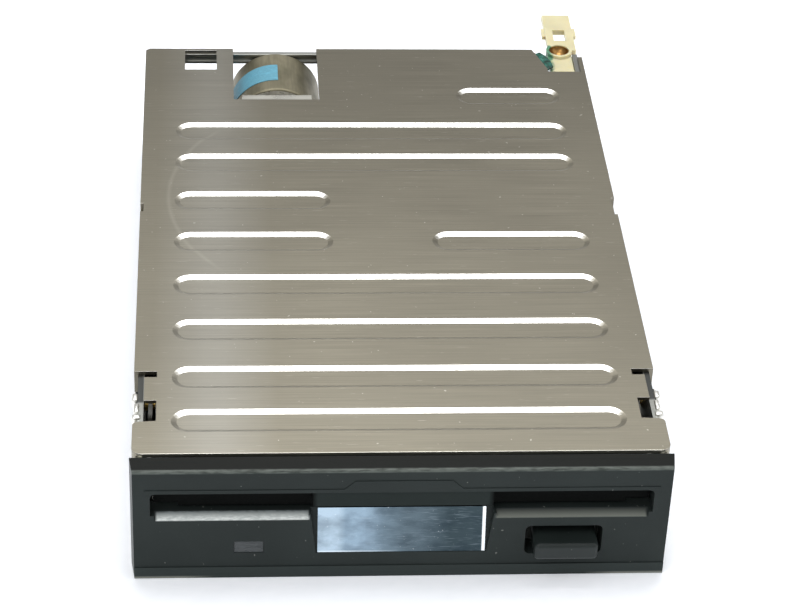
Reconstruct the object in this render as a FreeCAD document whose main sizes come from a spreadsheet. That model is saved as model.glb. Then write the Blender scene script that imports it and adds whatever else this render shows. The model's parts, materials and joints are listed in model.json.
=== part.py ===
# A bare 3.5 inch floppy disk drive mechanism, as it looks taken out of its external case.
# Frame: X to the right, +Y to the rear, +Z up, millimetres. The sizes below are measured from
# the bezel's front face (Y 0), its bottom (Z 0) and its middle (X 0). Every piece is then placed
# with its Y less one shared shift, which puts the origin at the middle of the base.
# Rest position: no disk, the disk carrier is up, the eject slide is latched at the rear.
import FreeCAD, Part
import math
import os
import Sketcher

doc = FreeCAD.newDocument("floppy_drive")
sheet = doc.addObject("Spreadsheet::Sheet", "Sizes")

DRIVING_SIZES = [
    # front bezel
    ("bezel_depth", 4.4), ("bezel_draft", 0.6),
    ("bezel_front_skin", 1.8), ("bezel_edge_radius", 0.5), ("band_height", 2.6), ("band_relief", 0.2),
    ("bezel_clip_length", 8.0), ("bezel_clip_gauge", 1.6),
    # disk slot and its flap
    ("slot_corner", 1.2),
    ("ledge_drop", 1.1), ("ledge_depth", 1.5), ("ledge_end_gap", 0.7),
    ("raise_half_width", 9.0), ("raise_top", 23.0), ("raise_shoulder", 21.1), ("raise_relief", 0.15),
    ("tongue_half_width", 16.9), ("tongue_low_edge", 16.9),
    ("flap_gauge", 1.0), ("flap_setback", 2.4), ("flap_side_gap", 0.6), ("flap_floor_gap", 0.7),
    ("flap_rod_radius", 0.6), ("flap_barrel_radius", 1.0), 
    ("flap_barrel_half", 41.0), ("flap_notch_height", 0.8),
    # finger recess and its bright plate
    ("recess_low", 5.7), ("recess_half_low", 16.1), ("recess_half_high", 17.2),
    ("recess_depth_low", 0.4), ("recess_depth_high", 2.3), ("finger_plate_half", 15.8),
    ("finger_plate_gauge", 0.25),
    # activity light
    ("lens_middle", -28.7), ("lens_low", 6.0), ("lens_width", 5.4), ("lens_height", 2.6),
    ("light_pipe_length", 15.0), ("led_length", 3.2),
    # eject button
    ("button_middle", 30.9), ("button_low", 5.7), ("button_width", 12.1), ("button_height", 3.7),
    ("button_proud", 3.0), ("button_radius", 0.9), ("button_hole_left", 23.3), ("button_hole_right", 37.9),
    ("button_hole_low", 5.0), ("button_hole_high", 11.8),
    ("eject_travel", 5.5), ("eject_press", 0.5), ("carrier_drop", 3.0),
    # sheet metal case
    ("cover_gauge", 0.8), 
    ("cover_flange", 6.4), ("wall_gauge", 1.2),
    ("deck_level", 8.0), ("deck_gauge", 1.2), 
    ("post_strip_width", 7.4), ("foot_length", 14.0), ("foot_width", 5.6), ("foot_gauge", 1.2),
    ("mount_first", 21.0), ("mount_pitch", 70.0), ("mount_height", 5.0), ("mount_radius", 1.25),
    # cover notches, nicks and cut-outs
    ("cover_corner", 2.0), ("notch_corner", 1.0),
    ("notch_front", 14.9), ("notch_back", 30.7), ("notch_depth", 2.0), ("notch_hole_front", 15.2),
    ("notch_hole_back", 21.5), ("notch_slot_width", 1.8), ("notch_bump_height", 23.0),
    ("nick_depth", 0.7), ("nick_left_length", 3.0), ("nick_left_place", 88.4),
    ("nick_right_length", 6.2), ("nick_right_place", 88.6),
    # stiffening grooves pressed into the cover
    ("groove_width", 6.9), ("groove_wall", 1.1), ("groove_depth", 0.45), 
    ("groove_short_end", 10.3), ("groove_first", 15.2), ("groove_second", 28.8), 
    ("groove_last_left", 19.7),
    # rear crossbar
    ("bar_gauge", 0.8), ("bar_lip", 0.6), 
    # disk, disk carrier and its pins
    ("disk_width", 90.0), ("disk_thickness", 3.3), ("disk_side_gap", 0.7),
    ("carrier_gauge", 0.6), ("carrier_lip", 4.6),
    ("carrier_height_gap", 0.5), ("carrier_arm_gap", 11.0),
    ("pin_radius", 0.9), 
    ("slide_side_gap", 0.6), ("cam_gap", 0.3),
    # eject slide plate and springs
    ("slide_gauge", 0.8), ("slide_lift", 0.4), ("slide_bar", 4.6),
    ("slide_arm", 8.6), ("slide_tab_width", 4.0),
    ("spring_radius", 1.25), ("spring_wire", 0.25), 
    ("spring_height", 11.2), ("spring_post_radius", 0.8),
    # shutter lever
    ("lever_reach_side", -18.0),
    ("lever_reach_back", -24.0), ("lever_width", 5.0), ("lever_gauge", 0.8), ("lever_lift", 0.3),
    ("lever_finger_radius", 1.2), ("lever_finger_drop", 3.3), ("lever_swing", 40.0),
    # spindle, hub and motor
    ("spindle_place", 48.0), ("shaft_radius", 1.5), ("running_gap", 0.05), ("hub_radius", 12.2),
    ("hub_gauge", 1.2), ("hub_low", 10.9), ("hub_boss_radius", 2.0), ("hub_boss_height", 1.0),
    ("drive_pin_radius", 0.9), ("drive_pin_place", 9.0), ("drive_pin_height", 1.0),
    ("bearing_radius", 5.0), ("rotor_radius", 24.0), ("rotor_low", 2.6), ("rotor_gauge", 0.8),
    ("rotor_top", 6.8), ("rotor_wall", 1.4), ("coil_radius", 2.3), ("coil_ring", 15.6),
    ("motor_board_gauge", 0.8), ("motor_board_half", 38.0), 
    # heads and their carriage
    ("track_radius_outer", 39.5), ("track_radius_inner", 24.7), ("rod_radius", 1.3), ("rod_side", 11.0),
    ("rod_height", 11.2), ("clamp_length", 3.0),
    ("clamp_half_width", 2.6), ("carriage_tongue_half", 7.0), ("tongue_low", 10.1),
    ("tongue_high", 12.3), ("block_top", 18.8),
    ("block_half", 14.4), ("head_half_width", 2.4), ("head_half_length", 3.2), ("head_level", 14.7),
    ("arm_half", 6.0), ("arm_gauge", 1.6), 
    
    ("arm_pin_radius", 0.8),
    # stepper motor and lead screw
    ("stepper_height", 15.0), ("stepper_radius", 10.2), 
    ("stepper_wall", 0.8), ("stepper_rim", 1.6), 
    ("bracket_gauge", 1.6), ("bracket_half", 7.8), ("stepper_boss_radius", 4.0),
    ("screw_radius", 1.8), ("thread_depth", 0.35), ("thread_pitch", 3.75), 
    ("screw_bearing_length", 2.4), ("label_gauge", 0.12), ("label_length", 6.8), ("label_right", 0.4),
    ("bracket_fold", 1.0),
    # boards and connectors
    ("board_low", 2.4), ("board_gauge", 1.4), 
    ("header_length", 44.0), 
    ("header_block", 2.6), ("header_pitch", 2.54),
    ("header_pin", 0.64), ("power_width", 12.4), ("power_height", 6.6),
    ("power_pitch", 2.5),
    # sensors
    ("switch_width", 5.0), ("switch_length", 7.6),
    ("switch_height", 2.8), ("plunger_radius", 0.8), ("plunger_top", 14.5), ("plunger_travel", 1.5),
    # room between pieces
    ("slot_side_room", 2.0), ("slot_height_room", 2.0), ("slot_floor_room", 1.1), ("slide_wall_room", 0.7),
    ("bezel_margin", 0.4), ("bezel_below_cover", 0.2), ("disk_height", 8.55), ("arm_over_carrier", 1.1),
    ("arm_head_room", 1.6), ("flap_rod_over_carrier", 2.3), ("flap_rod_place", 3.1), ("flap_reach_room", 0.6),
    ("eject_room", 0.7), ("rear_rod_room", 10.7), ("stepper_length", 16.2), ("stepper_stand_off", 4.9),
    ("rear_room", 1.4), ("groove_rear", 21.1), ("groove_seventh_rear", 36.2), ("groove_close_pitch", 13.0),
    ("groove_wide_pitch", 15.0), ("lug_stand_off", 0.5), ("lug_length", 16.6), ("lug_foot_half", 2.8),
    ("lug_foot_reach", 9.2), ("lug_foot_drop", 0.8), ("lug_height", 5.2),
    ("lug_eye_start", 4.5), ("lug_eye_length", 5.0), ("pin_spacing", 50.0), ("pin_before_spindle", 18.0),
    # small parts
    ("small_screw_radius", 1.2), ("small_screw_head", 2.6), ("rivet_radius", 1.0), ("rivet_head", 1.9),
    ("chip_size", 16.0), ("chip_height", 1.8), ("small_part", 2.0), ("strip_half_width", 1.5),
    ("strip_gauge", 0.25),
    # nylon lug at the rear right corner
    ("lug_radius", 3.0), 
    ("lug_half_width", 3.25), ("lug_gauge", 1.4), ("lug_offset", 0.8),
    ("lug_eye_half", 1.45), ("lug_nub", 0.75),
    ("lug_screw_radius", 1.25), ("lug_screw_head", 2.2),
]


class Size:
    """A length of the sheet, or one worked out from such lengths: a sheet expression and its number."""

    def __init__(self, text, value):
        self.text = text
        self.value = value

    def __add__(self, other):
        other = as_size(other)
        return Size(f"({self.text} + {other.text})", self.value + other.value)

    def __radd__(self, other):
        return as_size(other) + self

    def __sub__(self, other):
        other = as_size(other)
        return Size(f"({self.text} - {other.text})", self.value - other.value)

    def __rsub__(self, other):
        return as_size(other) - self

    def __mul__(self, other):
        other = as_size(other)
        return Size(f"({self.text} * {other.text})", self.value * other.value)

    def __rmul__(self, other):
        return as_size(other) * self

    def __truediv__(self, other):
        other = as_size(other)
        return Size(f"({self.text} / {other.text})", self.value / other.value)

    def __neg__(self):
        return Size(f"(0 - {self.text})", -self.value)

    def __float__(self):
        return float(self.value)


def as_size(value):
    """A plain number as a Size, and a Size as it is."""
    if isinstance(value, Size):
        return value
    return Size(f"{value:.6g}", float(value))


class SheetSizes:
    """The sheet's cells by name, such as of.bezel_width."""


of = SheetSizes()
for row, (alias, value) in enumerate(DRIVING_SIZES, start=1):
    sheet.set(f"A{row}", alias.replace("_", " "))
    sheet.set(f"B{row}", f"{value}")
    sheet.setAlias(f"B{row}", alias)
    setattr(of, alias, Size(f"Sizes.{alias}", value))
doc.recompute()

nodes = []


def node(item, label):
    """Names a finished sub-part, which becomes one file."""
    item.Label = label
    nodes.append(item)
    return item


def bind(item, name, size):
    """Ties one property of an object to the sheet."""
    item.setExpression(name, as_size(size).text)


def stand_at(item, x, y, z):
    """Ties an object's place to the sheet, in the frame of the whole drive."""
    bind(item, "Placement.Base.x", x)
    bind(item, "Placement.Base.y", as_size(y) - datum)
    bind(item, "Placement.Base.z", z)


def block(name, x, y, z):
    """A box between two places along each axis."""
    item = doc.addObject("Part::Box", name)
    bind(item, "Length", x[1] - x[0])
    bind(item, "Width", y[1] - y[0])
    bind(item, "Height", z[1] - z[0])
    stand_at(item, x[0], y[0], z[0])
    return item


TURNS = {
    "x": FreeCAD.Rotation(FreeCAD.Vector(0, 1, 0), 90),
    "y": FreeCAD.Rotation(FreeCAD.Vector(1, 0, 0), -90),
    "z": FreeCAD.Rotation(),
}


def rod(name, axis, radius, start, length, centre):
    """A cylinder along an axis from start, about a centre given on the other two axes in XYZ order."""
    item = doc.addObject("Part::Cylinder", name)
    item.Placement = FreeCAD.Placement(FreeCAD.Vector(), TURNS[axis])
    bind(item, "Radius", radius)
    bind(item, "Height", length)
    place = list(centre)
    place.insert("xyz".index(axis), start)
    stand_at(item, *place)
    return item


def join(name, parts):
    """Parts fused into one."""
    item = doc.addObject("Part::MultiFuse", name)
    item.Shapes = parts
    item.Refine = True
    return item


def group(name, parts):
    """Like pieces kept as separate solids in one node."""
    item = doc.addObject("Part::Compound", name)
    item.Links = parts
    return item


def cut(name, base, tools):
    """A base with one or more tools cut away."""
    item = doc.addObject("Part::Cut", name)
    item.Base = base
    item.Tool = tools[0] if len(tools) == 1 else join(f"{name}_tools", tools)
    item.Refine = True
    return item


def runs_along(edge, axis):
    """Whether a straight edge runs along an axis."""
    if edge.Curve.TypeId != "Part::GeomLine":
        return False
    return abs(abs(edge.tangentAt(edge.FirstParameter)["xyz".index(axis)]) - 1) < 1e-6


def rounded(name, base, radius, wanted):
    """A base with its wanted edges rounded."""
    doc.recompute()
    item = doc.addObject("Part::Fillet", name)
    item.Base = base
    edges = enumerate(base.Shape.Edges, start=1)
    item.Edges = [(number, float(radius), float(radius)) for number, edge in edges if wanted(edge)]
    return item


def prism(name, plane, points, start, length):
    """A pad of an outline on the XY, YZ or XZ plane. Each corner is a pair of sizes."""
    body = doc.addObject("PartDesign::Body", name)
    sketch = body.newObject("Sketcher::SketchObject", f"{name}_outline")
    origin = [item for item in body.Origin.OriginFeatures if item.Role == f"{plane}_Plane"]
    sketch.AttachmentSupport = [(origin[0], "")]
    sketch.MapMode = "FlatFace"
    # A sketch on the XZ plane looks along +Y, so its normal points to the front.
    corners = [FreeCAD.Vector(float(as_size(u)), float(as_size(v)), 0) for u, v in points]
    count = len(corners)
    for number in range(count):
        sketch.addGeometry(Part.LineSegment(corners[number], corners[(number + 1) % count]), False)
    for number in range(count):
        sketch.addConstraint(Sketcher.Constraint("Coincident", number, 2, (number + 1) % count, 1))
    for number, pair in enumerate(points):
        for kind, size in zip(("DistanceX", "DistanceY"), pair):
            size = as_size(size)
            held = sketch.addConstraint(Sketcher.Constraint(kind, -1, 1, number, 1, float(size)))
            sketch.setExpression(f"Constraints[{held}]", size.text)
    pad = body.newObject("PartDesign::Pad", f"{name}_pad")
    pad.Profile = sketch
    bind(pad, "Length", length)
    begin = as_size(start)
    places = {"XY": (0, 0, begin), "YZ": (begin, 0, 0), "XZ": (0, begin + length, 0)}
    stand_at(body, *places[plane])
    return body


def solid(name, shape):
    """A shape made with Part's own functions."""
    item = doc.addObject("Part::Feature", name)
    item.Shape = shape
    shift = FreeCAD.Placement(FreeCAD.Vector(0, -float(datum), 0), FreeCAD.Rotation())
    item.Placement = shift.multiply(shape.Placement)
    return item


def mirrored(name, base):
    """The same piece on the other side of the drive."""
    item = doc.addObject("Part::Mirroring", name)
    item.Source = base
    item.Base = FreeCAD.Vector(0, 0, 0)
    item.Normal = FreeCAD.Vector(1, 0, 0)
    return item


def arc_mid(start, tangent, end):
    """The middle point of the arc that leaves start along tangent and passes through end."""
    chord = end - start
    along = FreeCAD.Vector(chord).normalize()
    half_turn = tangent.getAngle(along)
    toward = (tangent + along).normalize()
    return start + toward * (chord.Length / 2 / math.cos(half_turn / 2))


def biarc(start, tangent, end, end_tangent):
    """Two tangent arcs from start to end."""
    chord = end - start
    both = tangent + end_tangent
    lean = 2 * (1 - tangent.dot(end_tangent))
    reach = (-chord.dot(both) + math.sqrt(chord.dot(both) ** 2 + lean * chord.dot(chord))) / lean
    middle = (start + tangent * reach + end - end_tangent * reach) / 2
    back_mid = arc_mid(end, -end_tangent, middle)
    return [Part.Arc(start, arc_mid(start, tangent, middle), middle).toShape(),
            Part.Arc(middle, back_mid, end).toShape()]


def coil(name, start, along, out, radius, wire, pitch, turns):
    """A wound wire: a helix about an axis, as quarter-turn biarcs, with a short straight end each way."""
    side = along.cross(out)

    def at(angle):
        turn = out * (radius * math.cos(angle)) + side * (radius * math.sin(angle))
        return start + turn + along * (pitch * angle / (2 * math.pi))

    def heading(angle):
        turn = out * (-radius * math.sin(angle)) + side * (radius * math.cos(angle))
        return (turn + along * (pitch / (2 * math.pi))).normalize()

    quarter = math.pi / 2
    steps = int(round(turns * 4))
    edges = []
    for step in range(steps):
        here = step * quarter
        there = here + quarter
        edges += biarc(at(here), heading(here), at(there), heading(there))
    last = steps * quarter
    lead_in = at(0) - heading(0) * (2 * wire)
    lead_out = at(last) + heading(last) * (2 * wire)
    edges.insert(0, Part.makeLine(lead_in, at(0)))
    edges.append(Part.makeLine(at(last), lead_out))
    section = Part.Wire(Part.makeCircle(wire, lead_in, heading(0)))
    tube = Part.Wire(edges).makePipeShell([section], True, False)
    print(f"{name}: {turns} turns, gap between turns {pitch - 2 * wire:.2f} mm")
    return tube


# Sizes across, worked out from the disk outwards.
disk_half = of.disk_width / 2
carrier_inner = disk_half + of.disk_side_gap
carrier_outer = carrier_inner + of.carrier_gauge
slide_flange_inner = carrier_outer + of.slide_side_gap
slide_flange_outer = slide_flange_inner + of.slide_gauge
slide_arm_inner = slide_flange_outer - of.slide_arm
wall_inner = slide_flange_outer + of.slide_wall_room
wall_outer = wall_inner + of.wall_gauge
of.cover_half_width = wall_outer + of.cover_gauge
of.bezel_width = 2 * (of.cover_half_width + of.bezel_margin)
slot_half = disk_half + of.slot_side_room
flap_half = slot_half - of.flap_side_gap
of.base_mount_pitch = 2 * (wall_inner - 1.4)
of.notch_inner_half = of.cover_half_width - 4.4
of.corner_left = of.cover_half_width - 8.6
of.corner_right = of.cover_half_width - 1
of.groove_end = of.cover_half_width - 7.2
of.catch_left = 9 - of.cover_half_width
of.catch_right = of.catch_left + 7.2
of.bar_right = wall_inner - 8.4
of.spring_side = slide_arm_inner - 4.1
of.switch_side = slide_arm_inner - 6.6
of.lever_pivot_side = carrier_inner - 3.7
of.board_half = wall_inner - 4.8
of.power_left = -of.board_half - 0.4
of.stepper_middle = of.power_left + of.power_width + of.stepper_radius + 0.7
of.motor_opening_left = of.stepper_middle - 9.7
of.motor_opening_right = of.stepper_middle + 9.5
of.header_left = of.stepper_middle + of.stepper_radius + 3.5
of.lug_middle = wall_inner - 2.9
button_left = of.button_middle - of.button_width / 2
button_right = of.button_middle + of.button_width / 2

# Heights, worked out from the deck upwards.
deck_top = of.deck_level + of.deck_gauge
slide_low = deck_top + of.slide_lift
slide_high = slide_low + of.slide_gauge
of.disk_level = deck_top + of.disk_height
carrier_floor = of.disk_level - of.disk_thickness / 2 - 0.1
carrier_ceiling = of.disk_level + of.disk_thickness / 2 + of.carrier_height_gap
carrier_top = carrier_ceiling + of.carrier_gauge
of.slide_flange_top = of.disk_level + of.carrier_drop * 0.1 + of.pin_radius + 1.45
of.slot_floor = of.disk_level - of.disk_thickness / 2 - of.slot_floor_room
slot_top = of.slot_floor + of.disk_thickness + of.slot_height_room
of.flap_rod_height = carrier_top + of.flap_rod_over_carrier
of.arm_lift = carrier_top + of.arm_over_carrier
of.arm_pivot_height = of.arm_lift - 0.7
of.upper_head_low = of.arm_lift - 1.65
cover_under = of.arm_lift + of.arm_gauge + of.arm_head_room
of.cover_top = cover_under + of.cover_gauge
of.bezel_height = of.cover_top - of.bezel_below_cover
of.bracket_top = cover_under + 0.2
of.bar_low = cover_under - 2.4
of.lug_top = of.cover_top - 0.4
of.lug_low = of.lug_top - of.lug_height
board_top = of.board_low + of.board_gauge
header_top = of.deck_level - 0.1

# Lengths, worked out from the bezel to the rear.
bezel_back = of.bezel_depth
of.cover_front = bezel_back + 0.8
of.deck_front = bezel_back + of.eject_travel + 0.1
of.slide_front = bezel_back + of.eject_travel + of.eject_room
of.slide_tab_front = bezel_back + 1.8
of.carrier_ear_front = bezel_back + 0.3
flap_reach = of.flap_rod_height - of.slot_floor - of.flap_floor_gap
of.carrier_front = of.flap_rod_place + flap_reach + of.flap_reach_room
of.switch_place = bezel_back + 17.6
mount_front = bezel_back + of.mount_first
mount_back = mount_front + of.mount_pitch
of.pin_first = of.spindle_place - of.pin_before_spindle
of.pin_second = of.pin_first + of.pin_spacing
of.carrier_back = of.pin_second + 18
of.carrier_arm_gap_front = of.spindle_place + of.hub_radius + 3.8
of.lever_pivot_place = of.carrier_back - 8
of.spring_back = of.pin_second + 16
of.spring_front = of.spring_back - 38
of.slide_back = of.spring_back + 12
of.motor_board_front = of.spindle_place - of.rotor_radius - 4
of.motor_board_back = of.spindle_place + of.rotor_radius + 10
of.board_front = of.motor_board_back + 4
head_travel = of.track_radius_outer - of.track_radius_inner
head_place = of.spindle_place + of.track_radius_outer
of.tongue_front = head_place - 7.5
of.arm_front = head_place - 5.5
of.block_front = head_place + 26
of.block_back = of.block_front + 8.5
of.arm_pivot_place = of.block_back - 3
tooth_front = of.block_front + 4
of.rod_front = of.spindle_place + of.hub_radius + 9.8
of.bracket_front = of.block_back + of.rear_rod_room
of.rod_back = of.bracket_front - 0.7
of.screw_bearing_front = tooth_front - head_travel - 0.9 - of.screw_bearing_length
of.screw_front = of.screw_bearing_front + 0.6
of.stepper_front = of.bracket_front + of.stepper_stand_off
of.stepper_back = of.stepper_front + of.stepper_length
of.label_front = of.stepper_front + 4
of.label_back = of.label_front + of.label_length
of.motor_opening_front = of.bracket_front - 0.2
of.drive_length = of.stepper_back + of.rear_room
of.deck_back = of.drive_length - 14.2
of.catch_front = of.drive_length - 9.5
of.catch_back = of.drive_length - 0.9
of.corner_front = of.drive_length - 10.1
of.corner_rib_back = of.drive_length - 3.4
of.groove_last = of.drive_length - of.groove_rear
of.groove_seventh = of.drive_length - of.groove_seventh_rear
of.groove_sixth = of.groove_seventh - of.groove_close_pitch
of.groove_pitch = (of.groove_sixth - of.groove_second - of.groove_wide_pitch) / 4
of.board_back = of.drive_length - 0.3
of.header_front = of.drive_length - 11.6
of.power_front = of.drive_length - 11
of.lug_place = of.drive_length + of.lug_stand_off
of.lug_back = of.lug_place + of.lug_length
of.lug_eye_front = of.lug_place + of.lug_eye_start
of.lug_eye_back = of.lug_eye_front + of.lug_eye_length
stepper_axis = (of.stepper_middle, of.stepper_height)

# The middle of the whole drive between the button's front and the lug's rear end.
datum = (of.lug_back - of.button_proud) / 2


def both_sides(name, low, high, y, z):
    """The same box at the left and at the right."""
    return [block(f"{name}_right", (low, high), y, z), block(f"{name}_left", (-high, -low), y, z)]


def stadium(name, axis_start, axis_length, first, second, radius):
    """A slot cutter along X between two round ends given in Y and Z."""
    first = FreeCAD.Vector(float(axis_start), float(first[0]), float(first[1]))
    second = FreeCAD.Vector(float(axis_start), float(second[0]), float(second[1]))
    along = FreeCAD.Vector(float(axis_length), 0, 0)
    reach = float(radius)
    line = (second - first).normalize()
    across = FreeCAD.Vector(1, 0, 0).cross(line) * reach
    tips = [first - line * reach, second + line * reach]
    outline = Part.Wire([
        Part.makeLine(first + across, second + across),
        Part.Arc(second + across, tips[1], second - across).toShape(),
        Part.makeLine(second - across, first - across),
        Part.Arc(first - across, tips[0], first + across).toShape(),
    ])
    return solid(name, Part.Face(outline).extrude(along))


def front_bezel():
    """The moulded front: slot, finger recess, light window, button hole, pocket for the flap."""
    front_half = of.bezel_width / 2 - of.bezel_draft
    body = doc.addObject("Part::Wedge", "bezel_body")
    sizes = {
        "Xmin": -front_half, "Xmax": front_half, "X2min": -(of.bezel_width / 2), "X2max": of.bezel_width / 2,
        "Ymin": 0, "Ymax": of.bezel_depth, "Zmin": 0, "Zmax": of.bezel_height, "Z2min": 0,
        "Z2max": of.bezel_height,
    }
    for name, size in sizes.items():
        bind(body, name, size)
    stand_at(body, 0, 0, 0)
    doc.recompute()

    def front_edge(edge):
        box = edge.BoundBox
        return box.YMax < 0.01 - float(datum) and box.ZMin > 0.1

    shell = rounded("bezel_rounded", body, of.bezel_edge_radius, front_edge)
    band = block("bezel_band", (-front_half, front_half), (-of.band_relief, of.bezel_front_skin),
                 (0, of.band_height))
    clips = both_sides("bezel_clip", wall_inner - 0.1 - of.bezel_clip_gauge, wall_inner - 0.1,
                       (bezel_back - 1, bezel_back + of.bezel_clip_length), (2.0, 6.4))
    shoulder = slot_half + 1
    raised = [(-shoulder, slot_top - 0.2), (shoulder, slot_top - 0.2), (shoulder, of.raise_shoulder),
              (of.raise_half_width + 2, of.raise_shoulder), (of.raise_half_width, of.raise_top),
              (-of.raise_half_width, of.raise_top), (-of.raise_half_width - 2, of.raise_shoulder),
              (-shoulder, of.raise_shoulder)]
    raised = prism("bezel_raised", "XZ", raised, -of.raise_relief, of.raise_relief + 0.5)
    shell = join("bezel_shell", [shell, band, raised] + clips)
    through = (-1, bezel_back + 1)
    slot = block("slot_box", (-slot_half, slot_half), through, (of.slot_floor, slot_top))
    slot = rounded("slot_rounded", slot, of.slot_corner,
                   lambda edge: runs_along(edge, "y") and edge.BoundBox.ZMin > float(of.slot_floor) + 1)
    tools = [slot]
    ledge = [(-1, of.slot_floor - of.ledge_drop), (-1, of.slot_floor + 0.5),
             (of.ledge_depth, of.slot_floor + 0.5), (of.ledge_depth, of.slot_floor),
             (0, of.slot_floor - of.ledge_drop)]
    ledge_start = of.tongue_half_width + of.ledge_end_gap
    right = prism("ledge_right", "YZ", ledge, ledge_start, slot_half - of.ledge_end_gap - ledge_start)
    tools += [right, mirrored("ledge_left", right)]
    tools.append(finger_wedge("finger_recess", of.recess_half_low, of.recess_half_high, 1.0))
    tools.append(block("flap_pocket", (-slot_half, slot_half), (of.bezel_front_skin, bezel_back + 1),
                       (of.slot_floor, of.flap_rod_height + of.flap_barrel_radius + 0.3)))
    tools.append(rod("flap_rod_hole", "x", of.flap_rod_radius + 0.02, -slot_half - 1.2,
                     2 * slot_half + 2.4, flap_rod_centre()))
    tools.append(block("lens_hole", (of.lens_middle - of.lens_width / 2 - 0.05,
                                     of.lens_middle + of.lens_width / 2 + 0.05), through,
                       (of.lens_low - 0.05, of.lens_low + of.lens_height + 0.05)))
    hole = block("button_hole_box", (of.button_hole_left, of.button_hole_right), through,
                 (of.button_hole_low, of.button_hole_high))
    tools.append(rounded("button_hole", hole, 1.1, lambda edge: runs_along(edge, "y")))
    return node(cut("front_bezel", shell, tools), "front_bezel")


def finger_wedge(name, half_low, half_high, toward_front):
    """A wedge that leans back from the recess's foot to the slot floor."""
    item = doc.addObject("Part::Wedge", name)
    item.Placement = FreeCAD.Placement(FreeCAD.Vector(), FreeCAD.Rotation(FreeCAD.Vector(1, 0, 0), 90))
    high = of.slot_floor
    low_face = -of.recess_depth_low
    high_face = -of.recess_depth_high
    sizes = {
        "Xmin": -half_low, "Xmax": half_low, "X2min": -half_high, "X2max": half_high,
        "Ymin": of.recess_low, "Ymax": high, "Zmin": low_face, "Z2min": high_face,
        "Zmax": as_size(toward_front), "Z2max": as_size(toward_front),
    }
    for prop, size in sizes.items():
        bind(item, prop, size)
    stand_at(item, 0, 0, 0)
    return item


def finger_plate():
    """The bright worn plate that lines the finger recess."""
    plate = finger_wedge("finger_plate_body", of.finger_plate_half, of.finger_plate_half, 1.0)
    bind(plate, "Zmax", of.finger_plate_gauge - of.recess_depth_low)
    bind(plate, "Z2max", of.finger_plate_gauge - of.recess_depth_high)
    node(plate, "finger_plate")


def flap_rod_centre():
    """Where the flap's rod runs, in Y and Z."""
    return (of.flap_rod_place, of.flap_rod_height)


def door_flap():
    """The flap behind the slot, its rod and its return spring."""
    front = of.flap_setback
    low = of.slot_floor + of.flap_floor_gap
    plate = block("flap_plate", (-flap_half, flap_half), (front, front + of.flap_gauge),
                  (low, of.flap_rod_height - of.flap_barrel_radius))
    tongue = block("flap_tongue", (-of.tongue_half_width, of.tongue_half_width), (0.1, front + 0.2),
                   (of.tongue_low_edge, slot_top - 0.2))
    hanger = block("flap_hanger", (-of.flap_barrel_half, of.flap_barrel_half),
                   (front, front + of.flap_gauge), (low + 1, of.flap_rod_height))
    barrel = rod("flap_barrel", "x", of.flap_barrel_radius, -of.flap_barrel_half,
                 2 * of.flap_barrel_half, flap_rod_centre())
    bore = rod("flap_bore", "x", of.flap_rod_radius + of.running_gap, -flap_half, 2 * flap_half,
               flap_rod_centre())
    corner_half = carrier_inner - of.carrier_lip
    corners = both_sides("flap_corner", corner_half + 0.8, flap_half + 1, (front - 1, front + 3),
                         (low - 1, low + of.flap_notch_height))
    node(cut("door_flap", join("flap_solid", [plate, tongue, hanger, barrel]), [bore] + corners), "door_flap")
    node(rod("flap_rod", "x", of.flap_rod_radius, -slot_half - 1.1, 2 * slot_half + 2.2,
             flap_rod_centre()), "flap_rod")
    y, z = flap_rod_centre()
    start = FreeCAD.Vector(float(of.flap_barrel_half) + 0.6, float(y), float(z))
    wire = 0.12
    shape = coil("flap_spring", start, FreeCAD.Vector(1, 0, 0), FreeCAD.Vector(0, 0, 1),
                 float(of.flap_rod_radius) + 0.1 + wire, wire, 0.75, 5)
    node(solid("flap_spring", shape), "flap_spring")


def activity_light():
    """The window in the bezel with its light pipe, and the lamp that lights it."""
    head = block("lens_head", (of.lens_middle - of.lens_width / 2, of.lens_middle + of.lens_width / 2),
                 (0.1, bezel_back + 0.8), (of.lens_low, of.lens_low + of.lens_height))
    pipe_end = bezel_back + of.light_pipe_length
    pipe = block("light_pipe", (of.lens_middle - 1.2, of.lens_middle + 1.2), (bezel_back, pipe_end),
                 (of.lens_low + 0.2, of.lens_low + 1.4))
    node(join("led_lens", [head, pipe]), "led_lens")
    lamp = block("lamp_body", (of.lens_middle - 1.6, of.lens_middle + 1.6),
                 (pipe_end + 0.2, pipe_end + 0.2 + of.led_length),
                 (of.lens_low - 0.6, of.deck_level - of.motor_board_gauge))
    dome = rod("lamp_dome", "y", 0.5, pipe_end, of.led_length, (of.lens_middle, of.lens_low + 0.6))
    node(join("activity_led", [lamp, dome]), "activity_led")


def eject_button():
    """The button cap with the shank that holds the slide plate's tab."""
    high = of.button_low + of.button_height
    cap = block("button_cap", (button_left, button_right), (-of.button_proud, bezel_back - 0.4),
                (of.button_low, high))
    cap = rounded("button_cap_rounded", cap, of.button_radius,
                  lambda edge: edge.BoundBox.YMax < 0.01 - float(datum + of.button_proud)
                  or runs_along(edge, "y"))
    half = of.slide_tab_width / 2 + 2
    shank = block("button_shank", (of.button_middle - half, of.button_middle + half),
                  (bezel_back - 1.4, of.slide_front - 2), (of.button_low + 0.2, slide_high + 0.8))
    neck = block("button_neck", (of.button_middle - half, of.button_middle + half),
                 (0.2, bezel_back - 1), (of.button_low + 0.2, high - 0.2))
    body = join("button_solid", [cap, neck, shank])
    slit = block("button_slit", (of.button_middle - of.slide_tab_width / 2 - 0.05,
                                 of.button_middle + of.slide_tab_width / 2 + 0.05),
                 (of.slide_tab_front - 0.1, of.slide_front), (slide_low - 0.05, slide_high + 0.05))
    node(cut("eject_button", body, [slit]), "eject_button")


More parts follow.
